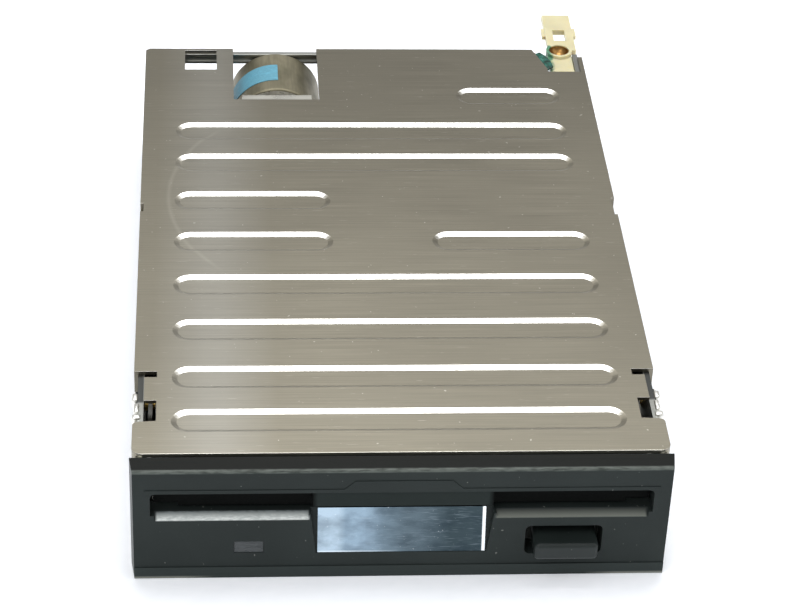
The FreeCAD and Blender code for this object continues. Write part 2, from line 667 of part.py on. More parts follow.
def chassis():
    """The steel frame: deck, side walls, feet with threaded holes, guide slots, corner post."""
    wall_y = (bezel_back, of.drive_length - of.bar_gauge)
    parts = both_sides("wall", wall_inner, wall_outer, wall_y, (0, cover_under))
    parts.append(block("deck", (-wall_inner, wall_inner), (of.deck_front, of.deck_back),
                       (of.deck_level, deck_top)))
    parts.append(block("post_strip", (wall_inner - of.post_strip_width, wall_inner),
                       (of.deck_back - 1, wall_y[1]), (of.deck_level, deck_top)))
    parts.append(block("post", (wall_inner - of.post_strip_width + 1, wall_inner),
                       (of.lug_place - of.lug_radius - 5, wall_y[1]), (deck_top, of.lug_low)))
    for name, place in (("front", mount_front), ("back", mount_back)):
        parts += both_sides(f"foot_{name}", wall_inner - of.foot_width, wall_inner,
                            (place - of.foot_length / 2, place + of.foot_length / 2), (0, of.foot_gauge))
        parts += both_sides(f"collar_{name}", wall_inner - 1.2, wall_inner,
                            (place - 3, place + 3), (of.mount_height - 2.6, of.mount_height + 2.6))
    for name, behind, radius in (("front", -1.1, 0.6), ("middle", 1.5, 1.0), ("back", 4.9, 0.75)):
        bump = rod(f"notch_bump_{name}", "x", radius, wall_outer - 0.2, of.cover_gauge + 0.1,
                   (of.notch_hole_back + behind, of.notch_bump_height))
        parts += [bump, mirrored(f"notch_bump_{name}_left", bump)]
    body = join("chassis_solid", parts)
    tools = []
    for name, place in (("front", mount_front), ("back", mount_back)):
        tools.append(rod(f"side_hole_{name}", "x", of.mount_radius, -of.cover_half_width,
                         of.bezel_width, (place, of.mount_height)))
        for side, sign in (("left", -0.5), ("right", 0.5)):
            tools.append(rod(f"base_hole_{name}_{side}", "z", of.mount_radius, -1, of.foot_gauge + 1.6,
                             (sign * of.base_mount_pitch, place)))
    for name, place in (("first", of.pin_first), ("second", of.pin_second)):
        low = of.disk_level - of.carrier_drop - 0.6
        high = of.disk_level + 0.8
        slot = stadium(f"guide_{name}", wall_inner - 1, of.wall_gauge + 2, (place, low), (place, high),
                       of.pin_radius + of.cam_gap)
        tools += [slot, mirrored(f"guide_{name}_left", slot)]
    tools.append(rod("bearing_hole", "z", of.bearing_radius + 0.02, of.deck_level - 1, of.deck_gauge + 2,
                     (0, of.spindle_place)))
    tools.append(block("stepper_notch", (of.stepper_middle - of.stepper_radius - 0.6,
                                         of.stepper_middle + of.stepper_radius + 0.6),
                       (of.bracket_front + of.bracket_gauge, of.deck_back + 1),
                       (of.deck_level - 1, deck_top + 1)))
    tools.append(rod("post_hole", "z", of.lug_screw_radius, of.lug_low - 6, 7,
                     (of.lug_middle - 0.4, of.lug_place - 3.4)))
    node(cut("chassis", body, tools), "chassis")


def groove_rows():
    """Each groove of the cover: its middle in Y, and where it ends at the left and the right."""
    full = (-of.groove_end, of.groove_end)
    rows = [(of.groove_first, full)]
    rows += [(of.groove_second + of.groove_pitch * step, full) for step in range(3)]
    fifth = of.groove_second + of.groove_pitch * 3
    rows += [(fifth, (-of.groove_end, -of.groove_short_end)), (fifth, (of.groove_short_end, of.groove_end))]
    rows.append((of.groove_second + of.groove_pitch * 4, (-of.groove_end, -of.groove_short_end)))
    rows += [(of.groove_sixth, full), (of.groove_seventh, full)]
    rows.append((of.groove_last, (of.groove_last_left, of.groove_end)))
    return rows


def groove_outline(place, ends, half_width, height):
    """A stadium in the plane at a height."""
    left = float(ends[0]) + float(of.groove_width) / 2
    right = float(ends[1]) - float(of.groove_width) / 2
    y = float(place)
    corners = [FreeCAD.Vector(left, y - half_width, height), FreeCAD.Vector(right, y - half_width, height),
               FreeCAD.Vector(right, y + half_width, height), FreeCAD.Vector(left, y + half_width, height)]
    tip_right = FreeCAD.Vector(right + half_width, y, height)
    tip_left = FreeCAD.Vector(left - half_width, y, height)
    return Part.Wire([
        Part.makeLine(corners[0], corners[1]),
        Part.Arc(corners[1], tip_right, corners[2]).toShape(),
        Part.makeLine(corners[2], corners[3]),
        Part.Arc(corners[3], tip_left, corners[0]).toShape(),
    ])


def groove_forms(top, shrink):
    """The tapered stadiums that press the grooves, from a top level, drawn in all round."""
    outer = float(of.groove_width) / 2 - shrink
    inner = outer - float(of.groove_wall)
    depth = float(of.groove_depth)
    forms = []
    for place, ends in groove_rows():
        wires = [groove_outline(place, ends, outer, top), groove_outline(place, ends, inner, top - depth)]
        forms.append(Part.makeLoft(wires, True, True))
    return Part.makeCompound(forms)


def corner_tools(name, radius, y, toward):
    """What rounds the lid's corners at one place in Y: a square less the round that stays, at both sides."""
    half = of.cover_half_width
    z = (cover_under - of.cover_flange - 1, of.cover_top + 1)
    middle = y + toward * radius
    y_range = (y - 1, middle) if toward > 0 else (middle, y + 1)
    square = block(f"{name}_square", (half - radius, half + 1), y_range, z)
    stays = rod(f"{name}_round", "z", radius, z[0] - 1, z[1] - z[0] + 2, (half - radius, middle))
    tool = cut(f"{name}_tool", square, [stays])
    return [tool, mirrored(f"{name}_tool_left", tool)]


def top_cover():
    """The pressed steel lid: notched outline, folded side flanges and pressed grooves."""
    half = of.cover_half_width
    shallow = half - of.notch_depth
    deep = of.notch_inner_half
    slot_start = of.notch_back - of.notch_slot_width
    nick_left = of.nick_left_length / 2
    nick_right = of.nick_right_length / 2
    back = of.drive_length
    right_side = [
        (half, of.cover_front), (half, of.notch_front),
        (deep, of.notch_hole_front), (deep, of.notch_hole_back), (shallow, of.notch_hole_back),
        (shallow, slot_start), (deep, slot_start), (deep, of.notch_back), (half, of.notch_back),
    ]
    left_side = [(-x, y) for x, y in reversed(right_side)]
    right_rear = [
        (half, of.nick_right_place - nick_right), (half - of.nick_depth, of.nick_right_place - nick_right),
        (half - of.nick_depth, of.nick_right_place + nick_right), (half, of.nick_right_place + nick_right),
        (half, of.corner_rib_back), (of.corner_right, of.corner_rib_back), (of.corner_right, of.corner_front),
        (of.corner_left, of.corner_front), (of.corner_left, of.corner_front + 1.4),
        (of.corner_left - 2.8, back),
    ]
    left_rear = [
        (of.motor_opening_right, back), (of.motor_opening_right, of.motor_opening_front),
        (of.motor_opening_left, of.motor_opening_front), (of.motor_opening_left, back),
        (-half + 0.8, back), (-half, back - 0.8),
        (-half, of.nick_left_place + nick_left), (-half + of.nick_depth, of.nick_left_place + nick_left),
        (-half + of.nick_depth, of.nick_left_place - nick_left), (-half, of.nick_left_place - nick_left),
    ]
    outline = right_side + right_rear + left_rear + left_side
    blank = prism("cover_blank", "XY", outline, cover_under, of.cover_gauge)
    flange_z = (cover_under - of.cover_flange, cover_under)
    flanges = both_sides("flange_front", wall_outer, half, (of.cover_front, of.notch_front), flange_z)
    flanges += both_sides("flange_rear", wall_outer, half, (of.notch_back, of.corner_rib_back), flange_z)
    nick_z = (cover_under - 1.5, cover_under)
    nicks = [
        block("nick_right", (half - of.nick_depth, half + 1),
              (of.nick_right_place - nick_right, of.nick_right_place + nick_right), nick_z),
        block("nick_left", (-half - 1, -half + of.nick_depth),
              (of.nick_left_place - nick_left, of.nick_left_place + nick_left), nick_z),
    ]
    window = block("catch_window", (of.catch_left, of.catch_right), (of.catch_front, of.catch_back),
                   (cover_under - 1, of.cover_top + 1))
    bulges = solid("groove_bulges", groove_forms(float(cover_under), 0.35))
    dents = solid("groove_dents", groove_forms(float(of.cover_top), 0.0))
    corners = corner_tools("front_corner", of.cover_corner, of.cover_front, 1)
    corners += corner_tools("notch_corner", of.notch_corner, of.notch_front, -1)
    lid = join("cover_solid", [blank, bulges] + flanges)
    node(cut("top_cover", lid, [dents, window] + nicks + corners), "top_cover")


def rear_crossbar():
    """The bar that ties the side walls at the rear: an upright strip with a lip along each edge."""
    across = (-wall_inner, of.bar_right)
    back = of.drive_length
    front = back - of.bar_gauge
    bar = block("bar", across, (front, back), (of.bar_low, cover_under))
    low_lip = block("bar_low_lip", across, (front - of.bar_lip, front), (of.bar_low, of.bar_low + 0.6))
    high_lip = block("bar_high_lip", across, (front - of.bar_lip + 0.1, front), (cover_under - 0.6, cover_under))
    node(join("rear_crossbar", [bar, low_lip, high_lip]), "rear_crossbar")


def disk_carrier():
    """The sheet holder that the disk slides into, with its lips, front ears and guide pins."""
    y = (of.carrier_front, of.carrier_back)
    top = block("carrier_top", (-carrier_outer, carrier_outer), y, (carrier_ceiling, carrier_top))
    lip_low = carrier_floor - of.carrier_gauge
    lip_inner = carrier_inner - of.carrier_lip
    parts = [top]
    parts += both_sides("carrier_wall", carrier_inner, carrier_outer, y, (lip_low, carrier_top))
    parts += both_sides("carrier_lip", lip_inner, carrier_outer, y, (lip_low, carrier_floor))
    parts += both_sides("carrier_ear", lip_inner + 1.4, carrier_inner, (of.carrier_ear_front, of.carrier_front),
                        (lip_low, carrier_floor))
    body = join("carrier_solid", parts)
    tools = [block("arm_gap", (-of.carrier_arm_gap, of.carrier_arm_gap),
                   (of.carrier_arm_gap_front, of.carrier_back + 1), (carrier_ceiling - 1, carrier_top + 1))]
    tools.append(solid("finger_track", lever_track()))
    node(cut("disk_carrier", body, tools), "disk_carrier")
    pins = []
    for name, place in (("first", of.pin_first), ("second", of.pin_second)):
        length = wall_outer - carrier_outer - 0.3
        pins.append(rod(f"pin_{name}_right", "x", of.pin_radius, carrier_outer, length,
                        (place, of.disk_level)))
        pins.append(rod(f"pin_{name}_left", "x", of.pin_radius, -carrier_outer - length, length,
                        (place, of.disk_level)))
    node(group("carrier_pins", pins), "carrier_pins")


def lever_track():
    """The curved opening in the carrier that the lever's finger sweeps."""
    pivot = FreeCAD.Vector(float(of.lever_pivot_side), float(of.lever_pivot_place), 0)
    arm = FreeCAD.Vector(float(of.lever_reach_side), float(of.lever_reach_back), 0)
    reach = arm.Length
    half_width = float(of.lever_finger_radius) + 0.5
    margin = math.degrees(half_width / reach)
    high = math.degrees(math.atan2(arm.y, arm.x)) + margin
    low = high - margin * 2 - float(of.lever_swing)
    base = FreeCAD.Vector(pivot.x, pivot.y, float(carrier_ceiling) - 1)
    sweep = high - low
    tall = float(of.carrier_gauge) + 2
    ring = Part.makeCylinder(reach + half_width, tall, base, FreeCAD.Vector(0, 0, 1), sweep)
    ring = ring.cut(Part.makeCylinder(reach - half_width, tall, base, FreeCAD.Vector(0, 0, 1), 360))
    ring.rotate(base, FreeCAD.Vector(0, 0, 1), low)
    return ring


def shutter_lever():
    """The lever on the carrier that opens the disk's shutter, its rivet and its spring."""
    pivot = (of.lever_pivot_side, of.lever_pivot_place)
    tip = (of.lever_pivot_side + of.lever_reach_side, of.lever_pivot_place + of.lever_reach_back)
    low = carrier_top + of.lever_lift
    high = low + of.lever_gauge
    heading = math.atan2(float(of.lever_reach_back), float(of.lever_reach_side))
    across_x = of.lever_width * (-math.sin(heading) / 2)
    across_y = of.lever_width * (math.cos(heading) / 2)
    outline = [(pivot[0] + across_x, pivot[1] + across_y), (pivot[0] - across_x, pivot[1] - across_y),
               (tip[0] - across_x * 0.6, tip[1] - across_y * 0.6),
               (tip[0] + across_x * 0.6, tip[1] + across_y * 0.6)]
    arm = prism("lever_arm", "XY", outline, low, of.lever_gauge)
    boss = rod("lever_boss", "z", of.lever_width / 2, low, of.lever_gauge, pivot)
    eye = rod("lever_eye", "z", of.lever_finger_radius + 0.6, low, of.lever_gauge, tip)
    finger = rod("lever_finger", "z", of.lever_finger_radius, carrier_ceiling - of.lever_finger_drop,
                 high - carrier_ceiling + of.lever_finger_drop, tip)
    bore = rod("lever_bore", "z", of.rivet_radius + of.running_gap, low - 1,
               of.lever_gauge + 2, pivot)
    node(cut("shutter_lever", join("lever_solid", [arm, boss, eye, finger]), [bore]), "shutter_lever")
    shank = rod("rivet_shank", "z", of.rivet_radius, carrier_top, high - carrier_top + 1.0, pivot)
    head = rod("rivet_head", "z", of.rivet_head, high + 0.9, 0.5, pivot)
    node(join("lever_rivet", [shank, head]), "lever_rivet")
    start = FreeCAD.Vector(float(pivot[0]), float(pivot[1]), float(high) + 0.16)
    shape = coil("lever_spring", start, FreeCAD.Vector(0, 0, 1), FreeCAD.Vector(1, 0, 0),
                 1.4, 0.12, 0.56, 1)
    node(solid("lever_spring", shape), "lever_spring")


def slide_plate():
    """The eject slide: front bar, side arms, cam flanges, front tab and spring hooks."""
    z = (slide_low, slide_high)
    arm_outer = slide_flange_outer
    arm_inner = slide_arm_inner
    parts = [block("slide_bar", (-arm_outer, arm_outer), (of.slide_front, of.slide_front + of.slide_bar), z)]
    y = (of.slide_front, of.slide_back)
    parts += both_sides("slide_arm", arm_inner, arm_outer, y, z)
    parts += both_sides("slide_flange", slide_flange_inner, slide_flange_outer, y, (slide_low, of.slide_flange_top))
    parts.append(block("slide_tab", (of.button_middle - of.slide_tab_width / 2,
                                     of.button_middle + of.slide_tab_width / 2),
                       (of.slide_tab_front, of.slide_front + 1), z))
    hook_y = (of.spring_back + 0.3, of.spring_back + 1.5)
    parts += both_sides("slide_hook", of.spring_side - 1.4, arm_inner + 1, hook_y, z)
    parts += both_sides("slide_hook_ear", of.spring_side - 1.4, of.spring_side + 1.4, hook_y,
                        (slide_low, of.spring_height + 1.2))
    body = join("slide_solid", parts)
    tools = []
    drop_over = of.eject_press / of.eject_travel
    for name, place in (("first", of.pin_first), ("second", of.pin_second)):
        high = (place - of.eject_press, of.disk_level + of.carrier_drop * drop_over)
        low = (place + of.eject_travel, of.disk_level - of.carrier_drop)
        cam = stadium(f"cam_{name}", slide_flange_inner - 1, of.slide_gauge + 2, high, low,
                      of.pin_radius + of.cam_gap)
        tools += [cam, mirrored(f"cam_{name}_left", cam)]
    node(cut("slide_plate", body, tools), "slide_plate")


def eject_springs():
    """Two extension springs, and the posts on the deck that hold their front ends."""
    wire = float(of.spring_wire)
    radius = float(of.spring_radius) - wire
    length = float(of.spring_back - of.spring_front) - 1.2
    turns = 24
    springs = []
    posts = []
    for name, side in (("right", 1), ("left", -1)):
        start = FreeCAD.Vector(side * float(of.spring_side), float(of.spring_front) + 0.9,
                               float(of.spring_height))
        shape = coil(f"eject_spring_{name}", start, FreeCAD.Vector(0, 1, 0), FreeCAD.Vector(0, 0, 1),
                     radius, wire, length / turns, turns)
        springs.append(solid(f"eject_spring_{name}", shape))
        centre = (side * of.spring_side, of.spring_front - of.spring_post_radius)
        posts.append(rod(f"spring_post_{name}", "z", of.spring_post_radius, deck_top,
                         of.spring_height + 1.2 - deck_top, centre))
    node(group("eject_springs", springs), "eject_springs")
    node(group("spring_posts", posts), "spring_posts")


def spindle():
    """The hub that grips the disk, its shaft, drive pin, bearing and flat rotor below the deck."""
    centre = (0, of.spindle_place)
    table = rod("hub_table", "z", of.hub_radius, of.hub_low, of.hub_gauge, centre)
    boss = rod("hub_boss", "z", of.hub_boss_radius, of.hub_low + of.hub_gauge, of.hub_boss_height, centre)
    skirt = rod("hub_skirt", "z", of.bearing_radius - 1, of.hub_low - 0.3, 0.5, centre)
    bore = rod("hub_bore", "z", of.shaft_radius + 0.01, of.hub_low - 1, 5, centre)
    node(cut("spindle_hub", join("hub_solid", [table, boss, skirt]), [bore]), "spindle_hub")
    shaft_top = of.hub_low + of.hub_gauge + of.hub_boss_height
    node(rod("spindle_shaft", "z", of.shaft_radius, of.rotor_low, shaft_top - of.rotor_low, centre),
         "spindle_shaft")
    node(rod("drive_pin", "z", of.drive_pin_radius, of.hub_low + of.hub_gauge, of.drive_pin_height,
             (of.drive_pin_place, of.spindle_place)), "drive_pin")
    bearing_low = of.deck_level - of.motor_board_gauge - 1.6
    sleeve = rod("bearing_sleeve", "z", of.bearing_radius, bearing_low, of.hub_low - 0.5 - bearing_low, centre)
    flange = rod("bearing_flange", "z", of.bearing_radius + 2, deck_top, 0.6, centre)
    inner = rod("bearing_inner", "z", of.shaft_radius + of.running_gap, bearing_low - 1, 9, centre)
    node(cut("spindle_bearing", join("bearing_solid", [sleeve, flange]), [inner]), "spindle_bearing")
    disc = rod("rotor_disc", "z", of.rotor_radius, of.rotor_low, of.rotor_top - of.rotor_low, centre)
    hollow = rod("rotor_hollow", "z", of.rotor_radius - of.rotor_wall, of.rotor_low + of.rotor_gauge,
                 of.rotor_top, centre)
    neck = rod("rotor_neck", "z", of.shaft_radius + 2, of.rotor_low + of.rotor_gauge - 0.1, 1.2, centre)
    eye = rod("rotor_eye", "z", of.shaft_radius + 0.01, of.rotor_low - 1, 6, centre)
    cup = join("rotor_solid", [cut("rotor_cup", disc, [hollow]), neck])
    node(cut("spindle_rotor", cup, [eye]), "spindle_rotor")


def motor_board():
    """The board under the deck that carries the spindle motor's coils and the two switches."""
    low = of.deck_level - of.motor_board_gauge
    board = block("motor_board_blank", (-of.motor_board_half, of.motor_board_half),
                  (of.motor_board_front, of.motor_board_back), (low, of.deck_level))
    hole = rod("motor_board_hole", "z", of.bearing_radius + 0.2, low - 1, of.motor_board_gauge + 2,
               (0, of.spindle_place))
    node(cut("motor_board", board, [hole]), "motor_board")
    coils = []
    for number in range(12):
        angle = math.radians(30 * number)
        coils.append(rod(f"stator_coil_{number}", "z", of.coil_radius, of.rotor_low + of.rotor_gauge + 0.6,
                         low - of.rotor_low - of.rotor_gauge - 0.6,
                         (of.coil_ring * math.cos(angle), of.spindle_place + of.coil_ring * math.sin(angle))))
    node(group("stator_coils", coils), "stator_coils")


def switches():
    """The disk-present and write-protect switches with their plungers."""
    bodies = []
    for name, side in (("write_protect_plunger", -1), ("disk_present_plunger", 1)):
        middle = side * of.switch_side
        y = (of.switch_place - of.switch_length / 2, of.switch_place + of.switch_length / 2)
        case = block(f"{name}_case", (middle - of.switch_width / 2, middle + of.switch_width / 2), y,
                     (deck_top, deck_top + of.switch_height))
        well = rod(f"{name}_well", "z", of.plunger_radius + of.running_gap, deck_top + 0.4, of.switch_height,
                   (middle, of.switch_place))
        bodies.append(cut(f"{name}_body", case, [well]))
        low = deck_top + 0.5 + of.plunger_travel
        node(rod(name, "z", of.plunger_radius, low, of.plunger_top - low, (middle, of.switch_place)), name)
    node(group("sensor_switches", bodies), "sensor_switches")


def guide_rods():
    """The two rods that the head carriage slides on, and the four clamps that hold them."""
    rods = []
    clamps = []
    for name, side in (("right", 1), ("left", -1)):
        centre = (side * of.rod_side, of.rod_height)
        rods.append(rod(f"rod_{name}", "y", of.rod_radius, of.rod_front, of.rod_back - of.rod_front, centre))
        for end, start in (("front", of.rod_front), ("back", of.rod_back - of.clamp_length)):
            x = (side * of.rod_side - of.clamp_half_width, side * of.rod_side + of.clamp_half_width)
            top = of.rod_height + of.rod_radius - 0.3
            case = block(f"clamp_{name}_{end}_block", x, (start, start + of.clamp_length), (deck_top, top))
            groove = rod(f"clamp_{name}_{end}_groove", "y", of.rod_radius + 0.01, start - 1,
                         of.clamp_length + 2, centre)
            clamps.append(cut(f"clamp_{name}_{end}", case, [groove]))
    node(group("guide_rods", rods), "guide_rods")
    node(group("rod_clamps", clamps), "rod_clamps")


def head_carriage():
    """The carriage with its tongue under the disk, its rod bores and the tooth on the lead screw."""
    parts = [
        block("tongue", (-of.carriage_tongue_half, of.carriage_tongue_half), (of.tongue_front, of.block_front + 1),
              (of.tongue_low, of.tongue_high)),
        block("carriage_block", (-of.block_half, of.block_half), (of.block_front, of.block_back),
              (deck_top + 0.5, of.tongue_high + 1.6)),
        block("arm_seat", (-of.carriage_tongue_half, of.carriage_tongue_half), (of.arm_pivot_place - 2.4, of.block_back),
              (of.tongue_high, of.block_top)),
        block("tooth_arm", (of.stepper_middle - 2, -of.block_half + 1), (tooth_front, of.block_back - 1.4),
              (deck_top + 0.6, of.stepper_height - of.screw_radius - 0.35)),
    ]
    ears = both_sides("arm_ear", of.arm_half + 0.3, of.arm_half + 1.8,
                      (of.arm_pivot_place - 1.6, of.arm_pivot_place + 1.6),
                      (of.tongue_high, of.arm_pivot_height + 1.4))
    body = join("carriage_solid", parts + ears)
    tools = [rod("arm_pin_hole", "x", of.arm_pin_radius + 0.01, -of.arm_half - 3, 2 * of.arm_half + 6,
                 (of.arm_pivot_place, of.arm_pivot_height))]
    for name, side in (("right", 1), ("left", -1)):
        tools.append(rod(f"rod_bore_{name}", "y", of.rod_radius + of.running_gap, of.block_front - 1,
                         of.block_back - of.block_front + 2, (side * of.rod_side, of.rod_height)))
    node(cut("head_carriage", body, tools), "head_carriage")
    x = (-of.head_half_width, of.head_half_width)
    y = (head_place - of.head_half_length, head_place + of.head_half_length)
    node(block("lower_head", x, y, (of.tongue_high, of.head_level)), "lower_head")
    node(block("upper_head", x, y, (of.upper_head_low, of.arm_lift)), "upper_head")
    node(rod("arm_pin", "x", of.arm_pin_radius, -of.arm_half - 1.8, 2 * of.arm_half + 3.6,
             (of.arm_pivot_place, of.arm_pivot_height)), "arm_pin")


def upper_arm():
    """The hinged arm that carries the upper head, with its light spring strip."""
    y = (of.arm_front, of.arm_pivot_place + 1)
    beam = block("arm_beam", (-of.arm_half, of.arm_half), y, (of.arm_lift, of.arm_lift + of.arm_gauge))
    knuckle = rod("arm_knuckle", "x", 1.5, -of.arm_half, 2 * of.arm_half,
                  (of.arm_pivot_place, of.arm_pivot_height))
    window = block("arm_window", (-of.arm_half + 1.8, of.arm_half - 1.8),
                   (of.arm_front + 14, of.arm_pivot_place - 6), (of.arm_lift - 1, of.arm_lift + 3))
    bore = rod("arm_bore", "x", of.arm_pin_radius + of.running_gap, -of.arm_half - 1,
               2 * of.arm_half + 2, (of.arm_pivot_place, of.arm_pivot_height))
    node(cut("upper_arm", join("arm_solid", [beam, knuckle]), [window, bore]), "upper_arm")
    strip_low = of.arm_lift + of.arm_gauge
    node(block("arm_spring", (-of.strip_half_width, of.strip_half_width),
               (of.arm_front + 9, of.arm_pivot_place), (strip_low, strip_low + of.strip_gauge)), "arm_spring")


def stepper():
    """The can motor that drives the heads, its bracket, coils, rotor, label and lead screw."""
    middle = stepper_axis
    length = of.stepper_back - of.stepper_front
    can = rod("can_outer", "y", of.stepper_radius, of.stepper_front, length, middle)
    can = rounded("can_rounded", can, 0.6, lambda edge: edge.Curve.TypeId == "Part::GeomCircle")
    hollow = rod("can_hollow", "y", of.stepper_radius - of.stepper_wall, of.stepper_front + of.stepper_wall,
                 length - 2 * of.stepper_wall, middle)
    dish = rod("can_dish", "y", of.stepper_radius - of.stepper_rim, of.stepper_front - 1, 1.4, middle)
    hole = rod("can_hole", "y", of.screw_radius + of.running_gap, of.stepper_front - 1, 3, middle)
    node(cut("stepper_can", can, [hollow, dish, hole]), "stepper_can")
    plate_back = of.bracket_front + of.bracket_gauge
    upright = block("bracket_upright", (of.stepper_middle - of.bracket_half, of.stepper_middle + of.bracket_half),
                    (of.bracket_front, plate_back), (deck_top, of.bracket_top))
    boss = rod("bracket_boss", "y", of.stepper_boss_radius, plate_back - 0.1,
               of.stepper_front + 0.4 - plate_back + 0.1, middle)
    fold = block("bracket_fold_top", (of.stepper_middle - of.bracket_half, of.stepper_middle + of.bracket_half),
                 (plate_back, plate_back + of.bracket_fold), (of.bracket_top - 0.8, of.bracket_top))
    clearance = rod("bracket_bore", "y", of.screw_radius + of.running_gap, of.bracket_front - 1, 8, middle)
    node(cut("stepper_bracket", join("bracket_solid", [upright, boss, fold]), [clearance]), "stepper_bracket")
    coils = []
    inner = of.stepper_radius - of.stepper_wall - 0.1
    space = length - 2 * of.stepper_wall
    for number in range(2):
        start = of.stepper_front + of.stepper_wall + 0.2 + number * space / 2
        outside = rod(f"bobbin_{number}_outer", "y", inner, start, space / 2 - 0.5, middle)
        bore = rod(f"bobbin_{number}_bore", "y", 6.0, start - 1, space / 2 + 2, middle)
        coils.append(cut(f"bobbin_{number}", outside, [bore]))
    node(group("stepper_coils", coils), "stepper_coils")
    magnet = rod("magnet_outer", "y", 5.5, of.stepper_front + 2, length - 4, middle)
    eye = rod("magnet_eye", "y", of.screw_radius + 0.01, of.stepper_front, length, middle)
    node(cut("stepper_magnet", magnet, [eye]), "stepper_magnet")
    label_outer = of.stepper_radius + of.label_gauge
    wrap = rod("label_outer", "y", label_outer, of.label_front, of.label_back - of.label_front, middle)
    core = rod("label_core", "y", of.stepper_radius, of.label_front - 1, of.label_back, middle)
    reach = of.stepper_radius + 2
    quarter = block("label_quarter", (of.stepper_middle - reach, of.stepper_middle + of.label_right),
                    (of.label_front - 1, of.label_back + 1), (of.stepper_height + 2, of.stepper_height + reach))
    band = doc.addObject("Part::Common", "label_band")
    band.Base = cut("label_ring", wrap, [core])
    band.Tool = quarter
    node(band, "stepper_label")
    lead_screw(middle)


def lead_screw(middle):
    """The screw that moves the carriage, with its grooved thread and front bearing."""
    back = of.stepper_back - of.stepper_wall - 1.0
    shaft = rod("screw_shaft", "y", of.screw_radius, of.screw_front, back - of.screw_front, middle)
    grooves = []
    for number in range(6):
        start = of.screw_front + 3.4 + of.thread_pitch * number
        outer = rod(f"thread_{number}_outer", "y", of.screw_radius + 1, start, 1.2, middle)
        core = rod(f"thread_{number}_core", "y", of.screw_radius - of.thread_depth, start - 1, 4, middle)
        grooves.append(cut(f"thread_{number}", outer, [core]))
    node(cut("lead_screw", shaft, grooves), "lead_screw")
    y = (of.screw_bearing_front, of.screw_bearing_front + of.screw_bearing_length)
    post = block("screw_post", (of.stepper_middle - 2.6, of.stepper_middle + 2.6), y,
                 (deck_top, of.stepper_height + of.screw_radius + 1.2))
    bore = rod("screw_post_bore", "y", of.screw_radius + of.running_gap, of.screw_front - 0.05, 6, middle)
    node(cut("screw_bearing", post, [bore]), "screw_bearing")


def track_sensor():
    """The light gate that tells when the heads are at the outermost track, and its flag."""
    x = (16.4, 22.4)
    y = (of.block_back - 4, of.block_back + 1)
    case = block("gate_case", x, y, (deck_top, 16.0))
    gap = block("gate_gap", (x[0] - 1, x[1] - 1.6), (y[0] - 1, y[1] + 1), (12.0, 14.4))
    node(cut("track_sensor", case, [gap]), "track_sensor")
    node(block("track_flag", (of.block_half, 19.4), (of.block_back - 5, of.block_back - 1), (12.8, 13.6)),
         "track_flag")


def main_board():
    """The control board at the rear with its chips, pin header, power inlet and screws."""
    z = (of.board_low, board_top)
    board = block("board_blank", (-of.board_half, of.board_half), (of.board_front, of.board_back), z)
    screw_places = [(-of.board_half + 5, of.board_front + 5), (of.board_half - 5, of.board_front + 5),
                    (of.board_half - 5, of.deck_back - 4)]
    holes = []
    screws = []
    spacers = []
    for number, place in enumerate(screw_places):
        holes.append(rod(f"board_hole_{number}", "z", of.small_screw_radius + 0.3, of.board_low - 1, of.board_gauge + 2, place))
        shank = rod(f"board_screw_{number}_shank", "z", of.small_screw_radius, of.board_low, 4.8, place)
        head = rod(f"board_screw_{number}_head", "z", of.small_screw_head, of.board_low - 1.2, 1.2, place)
        cross = block(f"board_screw_{number}_slot", (place[0] - 1.6, place[0] + 1.6),
                      (place[1] - 0.3, place[1] + 0.3), (of.board_low - 1.3, of.board_low - 0.7))
        cross_two = block(f"board_screw_{number}_slot_two", (place[0] - 0.3, place[0] + 0.3),
                          (place[1] - 1.6, place[1] + 1.6), (of.board_low - 1.3, of.board_low - 0.7))
        screws.append(cut(f"board_screw_{number}", join(f"board_screw_{number}_solid", [shank, head]),
                          [cross, cross_two]))
        tube = rod(f"spacer_{number}_tube", "z", 2 * of.small_screw_radius, board_top, of.deck_level - board_top, place)
        thread = rod(f"spacer_{number}_thread", "z", of.small_screw_radius, board_top - 1, 8, place)
        spacers.append(cut(f"spacer_{number}", tube, [thread]))
    node(cut("main_board", board, holes), "main_board")
    node(group("board_screws", screws), "board_screws")
    node(group("board_spacers", spacers), "board_spacers")
    chips = [
        chip("chip_controller", 0.28, of.chip_size * 1.4, of.chip_size, of.chip_size, of.chip_height),
        chip("chip_driver", -0.37, of.chip_size * 1.4, of.chip_size * 0.75, of.chip_size / 2, of.chip_height),
        chip("chip_head", -0.73, of.chip_size * 0.9, of.chip_size / 2, of.chip_size / 2, of.chip_height * 0.8),
        chip("chip_small", 0.71, of.chip_size * 2.4, of.chip_size * 0.4, of.chip_size / 2, of.chip_height * 0.8),
    ]
    node(group("board_chips", chips), "board_chips")
    parts = []
    for number in range(9):
        share = 0.17 * number - 0.85
        parts.append(chip(f"part_{number}", share, of.chip_size * 2.3, of.small_part, of.small_part * 0.6,
                          of.small_part * 0.35))
        parts.append(chip(f"part_row_two_{number}", share + 0.08, of.chip_size * 0.25, of.small_part * 0.6,
                          of.small_part, of.small_part * 0.35))
    for number in range(2):
        place = (-of.board_half * (0.92 - 0.14 * number), of.board_front + of.chip_size * 2.75)
        parts.append(rod(f"part_can_{number}", "z", of.small_part, board_top, of.small_part * 1.7, place))
    node(group("board_parts", parts), "board_parts")


def chip(name, share, behind, width, length, height):
    """A flat part under the board, at a share of its half width and a length behind its front edge."""
    x = of.board_half * share
    y = of.board_front + behind
    return block(name, (x - width / 2, x + width / 2), (y - length / 2, y + length / 2),
                 (of.board_low - height, of.board_low))


